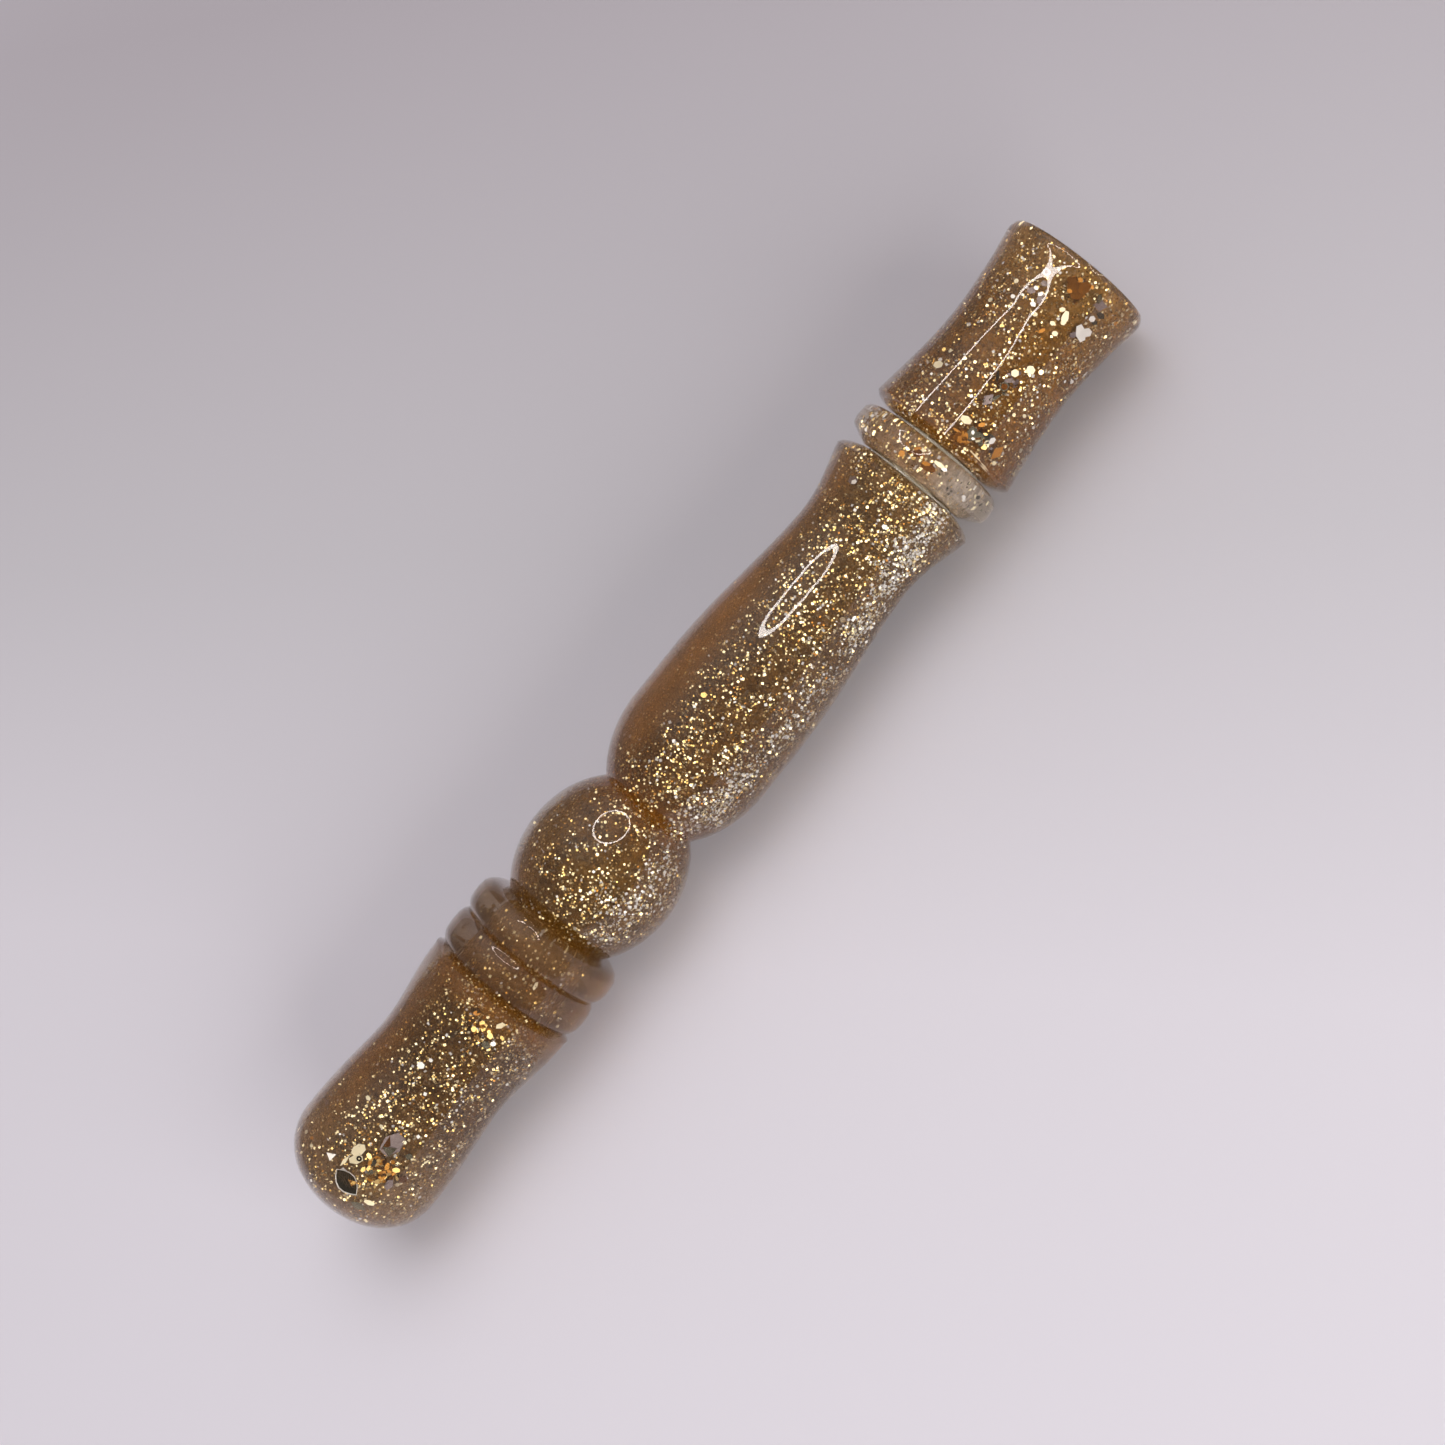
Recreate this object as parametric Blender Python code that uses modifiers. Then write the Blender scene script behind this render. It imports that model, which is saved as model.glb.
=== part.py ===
"""Duck call: a long turned resin barrel and the push-in insert that carries its reeds.

Metres, +Z up. The call lies on its side along X, mouthpiece at -X and bell at +X. Stations are distances
along the call from the mouth, heights are above the call's own axis. The insert slides out of the barrel's
bore along +X and turns in it on two O-rings. Inside the barrel it is a tone tube cut away to a flat board,
with two thin reeds clamped on the board by a cork wedge.
"""

import math

import bmesh
import bpy
from mathutils import Matrix

MM = 0.001

# The blank, and how far below its surface the widest of each form is turned
BLANK_R = 12.81 * MM
BULB_CUT = 0.51 * MM
FLARE_CUT = 0.24 * MM
BEAD_CUT = 0.08 * MM
BALL_CUT = 0.06 * MM
BELLY_CUT = 0.41 * MM
RIM_CUT = 0.51 * MM
RING_CUT = 0.33 * MM
BELL_CUT = 0.39 * MM
BELL_END_CUT = 0.52 * MM

# Barrel, outside, in order from the mouth
DOME_LENGTH = 9.2 * MM  # mouth face to the widest of the bulb
BULB_FALL = 17.3 * MM  # widest of the bulb to the cove behind it
COVE_R = 11.15 * MM
FLARE_RISE = 14.9 * MM  # cove to the flared edge
FLARE_EDGE = 0.9 * MM  # flared edge to the bottom of the first groove
BEAD_GROOVE_R = 11.0 * MM  # bottom of the two fine grooves beside the bead
BEAD_LENGTH = 6.1 * MM
LIP_RISE = 3.2 * MM  # second groove to the crest of the lip bead
LIP_FALL = 3.05 * MM  # that crest to the deep groove in front of the ball
LIP_GROOVE_R = 9.0 * MM
BALL_HALF_LENGTH = 15.2 * MM  # of the whole oval that the ball is part of
NECK_R = 8.2 * MM  # bottom of the deep groove between ball and belly
BELLY_HALF_LENGTH = 16.5 * MM
BELLY_FALL = 37.4 * MM  # widest of the belly to the waist
WAIST_R = 10.24 * MM
RIM_RISE = 11.2 * MM  # waist to the rim's corner
RIM_ROUND = 1.8 * MM  # corner to the end face
GROOVE_FOOT_R = 8.95 * MM  # bottoms of the two grooves beside the ring

# Barrel, inside
MOUTH_BORE_R = 4.75 * MM
MOUTH_LIP = 1.2 * MM  # rounding of the mouth's edge
BORE_R = 7.95 * MM  # 5/8 in bore that takes the insert
TIP_ROOM = 2.5 * MM  # bore left in front of the board's tip
BORE_CONE = 3.0 * MM

# Ring and bell
RING_LENGTH = 5.95 * MM
BELL_CHAMFER = 1.5 * MM
BELL_FALL = 16.1 * MM  # front corner to the bell's waist
BELL_WAIST_R = 10.82 * MM
BELL_RISE = 14.8 * MM  # waist to the far corner
BELL_ROUND = 1.6 * MM
BELL_ROUND_DROP = 1.2 * MM
SOCKET_DEPTH = 18.0 * MM  # how deep the tone tube is glued into the bell
EXHAUST_R = 5.6 * MM
EXHAUST_MOUTH_R = 8.9 * MM
EXHAUST_LIP = 0.7 * MM

# Tone tube, board and reeds
TUBE_BORE_R = 4.6 * MM
CHANNEL_R = 3.4 * MM
CHANNEL_START = 4.6 * MM  # solid lip left at the board's tip
CHANNEL_TAPER = 38.0 * MM
TUBE_CHAMFER = 0.6 * MM
BOARD_HEIGHT = 0.4 * MM
FREE_REED = 29.5 * MM  # board's tip to the wedge
LAY_DROP = 1.45 * MM  # how far the board curves away below the reeds at its tip
WEDGE_LENGTH = 11.5 * MM
WEDGE_ROUND = 0.4 * MM
NOTCH_UNDERCUT = math.radians(10)
REED_THICKNESS = 0.3 * MM
REED_WIDTH = 13.0 * MM
REED_TIP_INSET = 0.5 * MM  # lower reed's tip behind the board's tip
REED_CLIP = 2.2 * MM  # cut corners of the lower reed
UPPER_REED_INSET = 4.5 * MM  # how much shorter the upper reed is
DIMPLE_R = 0.9 * MM
DIMPLE_INSET = 6.0 * MM  # dimple behind the upper reed's tip
ORING_THICKNESS = 1.7 * MM
ORING_INSET = 3.2 * MM  # rear O-ring, in from the barrel's rim
ORING_SPACING = 4.8 * MM
SEAL_WALL = 2.65 * MM  # full round left between the front groove and the wedge's notch

# Fits
FIT = 0.3 * MM  # glued, clamped or sliding pieces
ORING_FIT = 0.1 * MM
ORING_SIDE = 0.2 * MM

FACETS = 40  # round each turned piece, with one flat underneath
ORING_FACETS = 8
HALF_FACET = math.pi / FACETS
PAST = 5 * MM  # how far cutters run past what they cut
AXIS_MARK = 5 * MM  # drawn size of the empties

# Widest radius of each form
BULB_R = BLANK_R - BULB_CUT
FLARE_R = BLANK_R - FLARE_CUT
BEAD_R = BLANK_R - BEAD_CUT
BALL_R = BLANK_R - BALL_CUT
BELLY_R = BLANK_R - BELLY_CUT
RIM_R = BLANK_R - RIM_CUT
RING_R = BLANK_R - RING_CUT
BELL_R = BLANK_R - BELL_CUT
BELL_END_R = BLANK_R - BELL_END_CUT

# Stations of the main forms, worked out from the lengths above
COVE = DOME_LENGTH + BULB_FALL
FLARE = COVE + FLARE_RISE
BEAD_START = FLARE + FLARE_EDGE
BEAD_END = BEAD_START + BEAD_LENGTH
LIP = BEAD_END + LIP_RISE
LIP_GROOVE = LIP + LIP_FALL
BALL = LIP_GROOVE + BALL_HALF_LENGTH * math.cos(math.asin(LIP_GROOVE_R / BALL_R))
NECK = BALL + BALL_HALF_LENGTH * math.cos(math.asin(NECK_R / BALL_R))
BELLY = NECK + BELLY_HALF_LENGTH * math.cos(math.asin(NECK_R / BELLY_R))
WAIST = BELLY + BELLY_FALL
RIM_CORNER = WAIST + RIM_RISE
RIM = RIM_CORNER + RIM_ROUND
RING = RIM + FIT
BELL = RING + RING_LENGTH + FIT
BELL_CORNER = BELL + BELL_CHAMFER
BELL_WAIST = BELL_CORNER + BELL_FALL
BELL_FAR_CORNER = BELL_WAIST + BELL_RISE
CALL_LENGTH = BELL_FAR_CORNER + BELL_ROUND

SOCKET_END = BELL + SOCKET_DEPTH
TUBE_R = BORE_R - FIT
TUBE_END = SOCKET_END - FIT
ORINGS = {"o_ring_rear": RIM - ORING_INSET, "o_ring_front": RIM - ORING_INSET - ORING_SPACING}
GROOVE_HALF = ORING_THICKNESS / 2 + ORING_SIDE
NOTCH_WALL = ORINGS["o_ring_front"] - GROOVE_HALF - SEAL_WALL
WEDGE = NOTCH_WALL - FIT / math.cos(NOTCH_UNDERCUT) - WEDGE_LENGTH
TIP = WEDGE - FREE_REED
BORE_END = TIP - TIP_ROOM
WEDGE_SEAT = BOARD_HEIGHT + 2 * REED_THICKNESS + 3 * FIT
PIVOT = WEDGE + WEDGE_LENGTH / 2
LOWER_REED_HEIGHT = BOARD_HEIGHT + FIT + REED_THICKNESS / 2
UPPER_REED_HEIGHT = LOWER_REED_HEIGHT + REED_THICKNESS + FIT
PIVOT_HEIGHT = (LOWER_REED_HEIGHT + UPPER_REED_HEIGHT) / 2
AXIS_HEIGHT = BLANK_R * math.cos(HALF_FACET)


def clear_scene():
    for obj in list(bpy.data.objects):
        bpy.data.objects.remove(obj, do_unlink=True)


def collection(name):
    made = bpy.data.collections.new(name)
    bpy.context.scene.collection.children.link(made)
    return made


def material(name, colour, roughness, metallic=0.0):
    made = bpy.data.materials.new(name)
    made.use_nodes = True
    shader = made.node_tree.nodes["Principled BSDF"]
    shader.inputs["Base Color"].default_value = (*colour, 1.0)
    shader.inputs["Roughness"].default_value = roughness
    shader.inputs["Metallic"].default_value = metallic
    made.diffuse_color = (*colour, 1.0)
    return made


def axis(name, parent=None, station=0.0, height=0.0):
    """An empty on the line that what hangs from it slides or turns about."""
    empty = bpy.data.objects.new(name, None)
    empty.empty_display_size = AXIS_MARK
    PARTS.objects.link(empty)
    empty.parent = parent
    empty.location = (station, 0.0, height)
    return empty


def place(obj, parent, look, group=None):
    (group or PARTS).objects.link(obj)
    obj.parent = parent
    if look:
        obj.data.materials.append(look)
    return obj


def adopt(obj, name, station, parent, look):
    """Takes a primitive that stands along Z, lays it along the call and turns its facets like the others."""
    obj.name = name
    obj.data.name = name
    for old in list(obj.users_collection):
        old.objects.unlink(obj)
    obj.rotation_mode = "ZYX"
    obj.rotation_euler = (0.0, math.pi / 2, HALF_FACET)
    obj.location = (station, 0.0, 0.0)
    return place(obj, parent, look)


def as_cutter(obj):
    obj.hide_render = True
    obj.display_type = "WIRE"
    return obj


def boolean(obj, cutter, operation="DIFFERENCE"):
    cut = obj.modifiers.new(cutter.name, "BOOLEAN")
    cut.operation = operation
    cut.solver = "EXACT"
    cut.object = cutter


# Curves of a turned profile, each a list of (station, radius)


def oval(centre, half_length, crest, start, end, count, fullness=2.0, foot=0.0):
    """Part of an oval bump: 0 degrees is its mouth-side foot, 90 its crest, 180 its bell-side foot."""
    points = []
    for i in range(count + 1):
        angle = math.radians(start + (end - start) * i / count)
        along = math.copysign(abs(math.cos(angle)) ** (2 / fullness), math.cos(angle))
        out = abs(math.sin(angle)) ** (2 / fullness)
        points.append((centre - half_length * along, foot + (crest - foot) * out))
    return points


def oval_angle(radius, crest, fullness=2.0):
    return math.degrees(math.asin((radius / crest) ** (fullness / 2)))


def sweep(start, end, lead, trail, count, leaving=0.0, arriving=0.0):
    """A cubic curve between two points, with the slopes it leaves and arrives at and how long it holds them."""
    hold = (start[0] + lead, start[1] + lead * leaving)
    aim = (end[0] - trail, end[1] - trail * arriving)
    points = []
    for i in range(count + 1):
        t = i / count
        weights = ((1 - t) ** 3, 3 * t * (1 - t) ** 2, 3 * t * t * (1 - t), t**3)
        corners = (start, hold, aim, end)
        points.append(tuple(sum(w * p[k] for w, p in zip(weights, corners)) for k in (0, 1)))
    return points


def chain(*stretches):
    """The stretches as one outline, without the points that two of them share."""
    points = []
    for stretch in stretches:
        for point in stretch:
            if not points or math.dist(point, points[-1]) > 1e-3 * MM:
                points.append(point)
    return points


def turned(name, profile, parent, look):
    """A profile turned about the call's axis. One that starts and ends on the axis is left open there."""
    mesh = bpy.data.meshes.new(name)
    bm = bmesh.new()
    points = [bm.verts.new((station, radius, 0.0)) for station, radius in reversed(profile)]
    on_axis = profile[0][1] == 0 and profile[-1][1] == 0
    for i in range(len(points) - 1 if on_axis else len(points)):
        bm.edges.new((points[i], points[(i + 1) % len(points)]))
    bm.to_mesh(mesh)
    bm.free()
    obj = bpy.data.objects.new(name, mesh)
    turn = obj.modifiers.new("turned", "SCREW")
    turn.axis = "X"
    turn.steps = FACETS
    turn.render_steps = FACETS
    turn.use_merge_vertices = True
    turn.merge_threshold = 1e-6
    turn.use_smooth_shade = True
    obj.rotation_euler.x = HALF_FACET
    return place(obj, parent, look)


def outline_solid(name, points, thickness, parent, look=None, group=None):
    """A flat outline in X and Y made a closed solid, half its thickness to each side."""
    curve = bpy.data.curves.new(name, "CURVE")
    curve.dimensions = "2D"
    curve.fill_mode = "BOTH"
    curve.extrude = thickness / 2
    spline = curve.splines.new("POLY")
    spline.points.add(len(points) - 1)
    for point, (x, y) in zip(spline.points, points):
        point.co = (x, y, 0.0, 1.0)
    spline.use_cyclic_u = True
    flat = bpy.data.objects.new(name + "_outline", curve)
    bpy.context.scene.collection.objects.link(flat)
    evaluated = flat.evaluated_get(bpy.context.evaluated_depsgraph_get())
    mesh = bpy.data.meshes.new_from_object(evaluated)
    mesh.name = name
    bm = bmesh.new()
    bm.from_mesh(mesh)
    bmesh.ops.remove_doubles(bm, verts=bm.verts, dist=1e-6)
    bm.to_mesh(mesh)
    bm.free()
    solid = bpy.data.objects.new(name, mesh)
    solid.matrix_world = flat.matrix_world.copy()
    bpy.data.objects.remove(flat, do_unlink=True)
    return place(solid, parent, look, group)


# The barrel and what is turned outside it


def barrel(parent, look):
    mouth_r = MOUTH_BORE_R + MOUTH_LIP
    dome_start = oval_angle(mouth_r, BULB_R, fullness=2.2)
    dome_half = DOME_LENGTH / math.cos(math.radians(dome_start)) ** (2 / 2.2)
    bead_half = BEAD_LENGTH / 2
    profile = chain(
        oval(DOME_LENGTH, dome_half, BULB_R, dome_start, 90, 7, fullness=2.2),
        sweep((DOME_LENGTH, BULB_R), (COVE, COVE_R), 0.46 * BULB_FALL, 0.23 * BULB_FALL, 5),
        sweep((COVE, COVE_R), (FLARE, FLARE_R), 0.34 * FLARE_RISE, 0.4 * FLARE_RISE, 5),
        oval(BEAD_START + bead_half, bead_half, BEAD_R, 0, 180, 8, 2.8, BEAD_GROOVE_R),
        oval(LIP, LIP_RISE, BLANK_R, 0, 90, 4, 2.5, BEAD_GROOVE_R),
        oval(LIP, LIP_FALL, BLANK_R, 90, 180, 4, 2.5, LIP_GROOVE_R),
        oval(
            BALL,
            BALL_HALF_LENGTH,
            BALL_R,
            oval_angle(LIP_GROOVE_R, BALL_R),
            180 - oval_angle(NECK_R, BALL_R),
            10,
        ),
        oval(BELLY, BELLY_HALF_LENGTH, BELLY_R, oval_angle(NECK_R, BELLY_R), 90, 7),
        sweep((BELLY, BELLY_R), (WAIST, WAIST_R), 0.48 * BELLY_FALL, 0.24 * BELLY_FALL, 7),
        sweep((WAIST, WAIST_R), (RIM_CORNER, RIM_R), 0.4 * RIM_RISE, 0.27 * RIM_RISE, 5, arriving=0.2),
        oval(RIM_CORNER, RIM_ROUND, RIM_R, 90, 180, 4, 1.5, GROOVE_FOOT_R),
        [(RIM, BORE_R), (BORE_END, BORE_R), (BORE_END - BORE_CONE, MOUTH_BORE_R)],
        oval(MOUTH_LIP, MOUTH_LIP, MOUTH_BORE_R, 90, 0, 3, foot=mouth_r),
    )
    return turned("barrel", profile, parent, look)


def collar_ring(parent, look):
    half = RING_LENGTH / 2
    profile = chain(
        [(RING, BORE_R)],
        oval(RING + half, half, RING_R, 0, 180, 10, 2.3, GROOVE_FOOT_R),
        [(RING + RING_LENGTH, BORE_R)],
    )
    return turned("collar_ring", profile, parent, look)


def end_bell(parent, look):
    far_foot = BELL_END_R - BELL_ROUND_DROP
    exhaust_lip_r = EXHAUST_MOUTH_R + EXHAUST_LIP
    exhaust_length = CALL_LENGTH - EXHAUST_LIP - SOCKET_END
    waist = (BELL_WAIST, BELL_WAIST_R)
    profile = chain(
        [(BELL, BORE_R)],
        oval(BELL_CORNER, BELL_CHAMFER, BELL_R, 0, 90, 3, 1.5, GROOVE_FOOT_R),
        sweep((BELL_CORNER, BELL_R), waist, 0.2 * BELL_FALL, 0.4 * BELL_FALL, 6, leaving=-0.1),
        sweep(waist, (BELL_FAR_CORNER, BELL_END_R), 0.34 * BELL_RISE, 0.24 * BELL_RISE, 5, arriving=0.11),
        oval(BELL_FAR_CORNER, BELL_ROUND, BELL_END_R, 90, 180, 3, 2.0, far_foot),
        [(CALL_LENGTH, exhaust_lip_r), (CALL_LENGTH - EXHAUST_LIP, EXHAUST_MOUTH_R)],
        sweep(
            (SOCKET_END, EXHAUST_R),
            (CALL_LENGTH - EXHAUST_LIP, EXHAUST_MOUTH_R),
            0.5 * exhaust_length,
            0.3 * exhaust_length,
            5,
            arriving=0.45,
        )[::-1],
        [(SOCKET_END, BORE_R)],
    )
    return turned("end_bell", profile, parent, look)


# The tone tube with its board, and what sits on the board


def board_outline():
    """Side view of what is cut from above the board: its lay, its flat, and the notch's undercut rear wall."""
    lay_radius = (FREE_REED**2 + LAY_DROP**2) / (2 * LAY_DROP)
    above = TUBE_R + PAST
    points = []
    for i in range(13):
        station = TIP - PAST + (WEDGE - TIP + PAST) * i / 12
        drop = lay_radius - math.sqrt(lay_radius**2 - (WEDGE - station) ** 2)
        points.append((station, BOARD_HEIGHT - drop))
    points.append((NOTCH_WALL, BOARD_HEIGHT))
    points.append((NOTCH_WALL - (above - BOARD_HEIGHT) * math.tan(NOTCH_UNDERCUT), above))
    points.append((TIP - PAST, above))
    return points


def tone_tube(parent, look):
    groove_r = BORE_R - ORING_FIT - ORING_THICKNESS - ORING_SIDE
    grooves = []
    for station in sorted(ORINGS.values()):
        front, back = station - GROOVE_HALF, station + GROOVE_HALF
        grooves += [(front, TUBE_R), (front, groove_r), (back, groove_r), (back, TUBE_R)]
    channel = TIP + CHANNEL_START
    profile = chain(
        [(TIP, 0.0), (TIP, TUBE_R - TUBE_CHAMFER), (TIP + TUBE_CHAMFER, TUBE_R)],
        grooves,
        [(TUBE_END - TUBE_CHAMFER, TUBE_R), (TUBE_END, TUBE_R - TUBE_CHAMFER), (TUBE_END, TUBE_BORE_R)],
        [(channel + CHANNEL_TAPER, TUBE_BORE_R)],
        oval(channel + CHANNEL_R, CHANNEL_R, CHANNEL_R, 90, 0, 5),
    )
    profile[-1] = (channel, 0.0)
    tube = turned("tone_tube", profile, parent, look)
    cut = outline_solid("board_cut", board_outline(), 2 * (TUBE_R + PAST), parent, group=CUTTERS)
    cut.rotation_euler.x = math.pi / 2
    boolean(tube, as_cutter(cut))
    return tube


def wedge(parent, look):
    """Half-round block over the reeds, its rear face slanted to sit under the notch's undercut wall."""
    length = WEDGE_LENGTH
    bpy.ops.mesh.primitive_cylinder_add(vertices=FACETS, radius=TUBE_R, depth=length)
    block = adopt(bpy.context.object, "wedge", WEDGE + length / 2, parent, look)
    lean = math.tan(NOTCH_UNDERCUT)
    below = -TUBE_R - PAST
    start, end = WEDGE - PAST, WEDGE + length + PAST
    rear = WEDGE + length
    outline = [
        (start, below),
        (end, below),
        (end, TUBE_R + PAST),
        (rear - (TUBE_R + PAST - BOARD_HEIGHT) * lean, TUBE_R + PAST),
        (rear - (WEDGE_SEAT - BOARD_HEIGHT) * lean, WEDGE_SEAT),
        (start, WEDGE_SEAT),
    ]
    cut = outline_solid("wedge_cut", outline, 2 * (TUBE_R + PAST), parent, group=CUTTERS)
    cut.rotation_euler.x = math.pi / 2
    boolean(block, as_cutter(cut))
    worn = block.modifiers.new("worn edges", "BEVEL")
    worn.width = WEDGE_ROUND
    worn.segments = 2
    worn.limit_method = "ANGLE"
    worn.angle_limit = math.radians(50)
    return block


def reed_outline(length, clip):
    """Plan of a reed about its pivot, its tip towards the mouth with the corners cut off."""
    tip = -length
    rear = WEDGE_LENGTH / 2 - (WEDGE_SEAT - BOARD_HEIGHT) * math.tan(NOTCH_UNDERCUT)
    half = REED_WIDTH / 2
    return [(tip, -half + clip), (tip + clip, -half), (rear, -half), (rear, half), (tip + clip, half), (tip, half - clip)]


def dimple_ball(name, height, parent):
    """A squashed ball, round in plan, for pressing the dimple."""
    mesh = bpy.data.meshes.new(name)
    bm = bmesh.new()
    bmesh.ops.create_uvsphere(bm, u_segments=16, v_segments=8, radius=DIMPLE_R)
    bmesh.ops.scale(bm, vec=(1.0, 1.0, 0.7 * REED_THICKNESS / DIMPLE_R), verts=bm.verts)
    bm.to_mesh(mesh)
    bm.free()
    ball = bpy.data.objects.new(name, mesh)
    place(ball, parent, None, CUTTERS)
    ball.location = (TIP + UPPER_REED_INSET + REED_TIP_INSET + DIMPLE_INSET - PIVOT, 0.0, height)
    return as_cutter(ball)


def reeds(parent, look):
    """Lower and upper reed, both with their origin on the line they flex about."""
    reach = PIVOT - TIP - REED_TIP_INSET
    lower = outline_solid("reed_lower", reed_outline(reach, REED_CLIP), REED_THICKNESS, parent, look)
    lower_z = LOWER_REED_HEIGHT - PIVOT_HEIGHT
    lower.data.transform(Matrix.Translation((0.0, 0.0, lower_z)))
    upper_reach = reach - UPPER_REED_INSET
    upper = outline_solid("reed_upper", reed_outline(upper_reach, REED_CLIP / 2), REED_THICKNESS, parent, look)
    upper_z = UPPER_REED_HEIGHT - PIVOT_HEIGHT
    upper.data.transform(Matrix.Translation((0.0, 0.0, upper_z)))
    step = 0.35 * REED_THICKNESS
    boolean(upper, dimple_ball("dimple_boss", upper_z - step, parent), "UNION")
    boolean(upper, dimple_ball("dimple_pit", upper_z + 2 * step, parent))
    return lower, upper


def o_ring(name, station, parent, look):
    bpy.ops.mesh.primitive_torus_add(
        major_radius=BORE_R - ORING_FIT - ORING_THICKNESS / 2,
        minor_radius=ORING_THICKNESS / 2,
        major_segments=FACETS,
        minor_segments=ORING_FACETS,
    )
    ring = adopt(bpy.context.object, name, station, parent, look)
    ring.data.shade_smooth()
    return ring


clear_scene()
PARTS = collection("duck_call")
CUTTERS = collection("cutters")

resin = material("gold_glitter_resin", (0.40, 0.26, 0.11), 0.12)
moulding = material("clear_moulding", (0.72, 0.70, 0.64), 0.2)
mylar = material("mylar", (0.75, 0.76, 0.74), 0.15)
cork = material("cork", (0.45, 0.27, 0.13), 0.85)
nitrile = material("nitrile", (0.02, 0.02, 0.02), 0.45)

call_axis = axis("call_axis", station=-CALL_LENGTH / 2, height=AXIS_HEIGHT)
seal_slide = axis("seal_slide", call_axis)
insert_turn = axis("insert_turn", seal_slide)
reed_flex = axis("reed_flex", insert_turn, PIVOT, PIVOT_HEIGHT)

barrel(call_axis, resin)
for ring_name, ring_station in ORINGS.items():
    o_ring(ring_name, ring_station, seal_slide, nitrile)
collar_ring(insert_turn, resin)
end_bell(insert_turn, resin)
tone_tube(insert_turn, moulding)
wedge(insert_turn, cork)
reeds(reed_flex, mylar)
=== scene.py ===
"""A duck call turned from cast resin with glitter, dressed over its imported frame.

The barrel, the ring and the end bell are clear polished resin with haze and glitter inside.
Each is built as a turned clear skin, two thin layers of haze, an opaque glitter heart round
the bore, and loose flakes of foil between them. The call lies on a sweep of pale paper.
Lengths are in metres unless a comment says otherwise, and x runs along the call from its mouth
end to its bell.
"""

import math
import random

import bmesh
import bpy
from mathutils import Matrix, Vector, noise


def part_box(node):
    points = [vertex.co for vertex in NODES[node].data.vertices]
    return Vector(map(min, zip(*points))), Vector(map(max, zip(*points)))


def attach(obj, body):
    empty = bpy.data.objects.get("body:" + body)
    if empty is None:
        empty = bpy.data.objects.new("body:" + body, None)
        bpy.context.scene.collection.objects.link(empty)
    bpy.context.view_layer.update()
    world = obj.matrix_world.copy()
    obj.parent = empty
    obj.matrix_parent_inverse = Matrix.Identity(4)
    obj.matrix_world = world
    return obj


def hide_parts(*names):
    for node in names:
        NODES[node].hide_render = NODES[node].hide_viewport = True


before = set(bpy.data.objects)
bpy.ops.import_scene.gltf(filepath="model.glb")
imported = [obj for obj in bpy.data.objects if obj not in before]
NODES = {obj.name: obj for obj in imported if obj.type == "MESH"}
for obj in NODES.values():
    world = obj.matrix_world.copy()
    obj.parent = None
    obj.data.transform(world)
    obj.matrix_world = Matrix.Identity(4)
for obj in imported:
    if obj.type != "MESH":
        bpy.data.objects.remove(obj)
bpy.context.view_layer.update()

MM = 0.001
AXIS_Z = (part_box("barrel")[0].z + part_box("barrel")[1].z) / 2


# ---------------- small helpers


def colour(code):
    """An sRGB hex colour as linear red, green, blue and alpha."""
    values = [int(code[i : i + 2], 16) / 255 for i in (1, 3, 5)]
    linear = [v / 12.92 if v <= 0.04045 else ((v + 0.055) / 1.055) ** 2.4 for v in values]
    return (*linear, 1.0)


def new_tree(name):
    """A new material and its empty node tree."""
    material = bpy.data.materials.new(name)
    material.use_nodes = True
    material.node_tree.nodes.clear()
    return material, material.node_tree


def add(tree, kind, inputs=None, **settings):
    """Adds a shader node. An input is given a plain value, or what to link to it: a node for
    its first output, or a (node, output) pair."""
    made = tree.nodes.new("ShaderNode" + kind)
    for key, value in settings.items():
        setattr(made, key, value)
    for key, value in (inputs or {}).items():
        if isinstance(value, bpy.types.Node):
            value = (value, 0)
        if isinstance(value, tuple) and isinstance(value[0], bpy.types.Node):
            tree.links.new(value[0].outputs[value[1]], made.inputs[key])
        else:
            made.inputs[key].default_value = value
    return made


def set_ramp(ramp, stops):
    """Sets a Color Ramp's stops: a place, and an sRGB hex colour or a plain grey from 0 to 1."""
    elements = ramp.color_ramp.elements
    while len(elements) < len(stops):
        elements.new(0.5)
    for element, (place, tone) in zip(elements, stops):
        element.position = place
        element.color = colour(tone) if isinstance(tone, str) else (tone, tone, tone, 1)
    return ramp


def per_metre(size_mm):
    """The scale of a pattern whose cells are that many millimetres across."""
    return 1 / (size_mm * MM)


def track(places, x):
    """The value at an x on straight runs between places, which are given in millimetres."""
    mm = x / MM
    for (x0, v0), (x1, v1) in zip(places, places[1:]):
        if x0 <= mm <= x1:
            return v0 + (v1 - v0) * (mm - x0) / (x1 - x0)
    return places[0][1] if mm < places[0][0] else places[-1][1]


def keep(piece_bmesh, name, material, smooth=True):
    """Makes an object of a finished bmesh and frees it."""
    mesh = bpy.data.meshes.new(name)
    piece_bmesh.to_mesh(mesh)
    piece_bmesh.free()
    mesh.polygons.foreach_set("use_smooth", [smooth] * len(mesh.polygons))
    piece = bpy.data.objects.new(name, mesh)
    bpy.context.scene.collection.objects.link(piece)
    for each in material if isinstance(material, list) else [material]:
        mesh.materials.append(each)
    return piece


# ---------------- the camera

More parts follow.
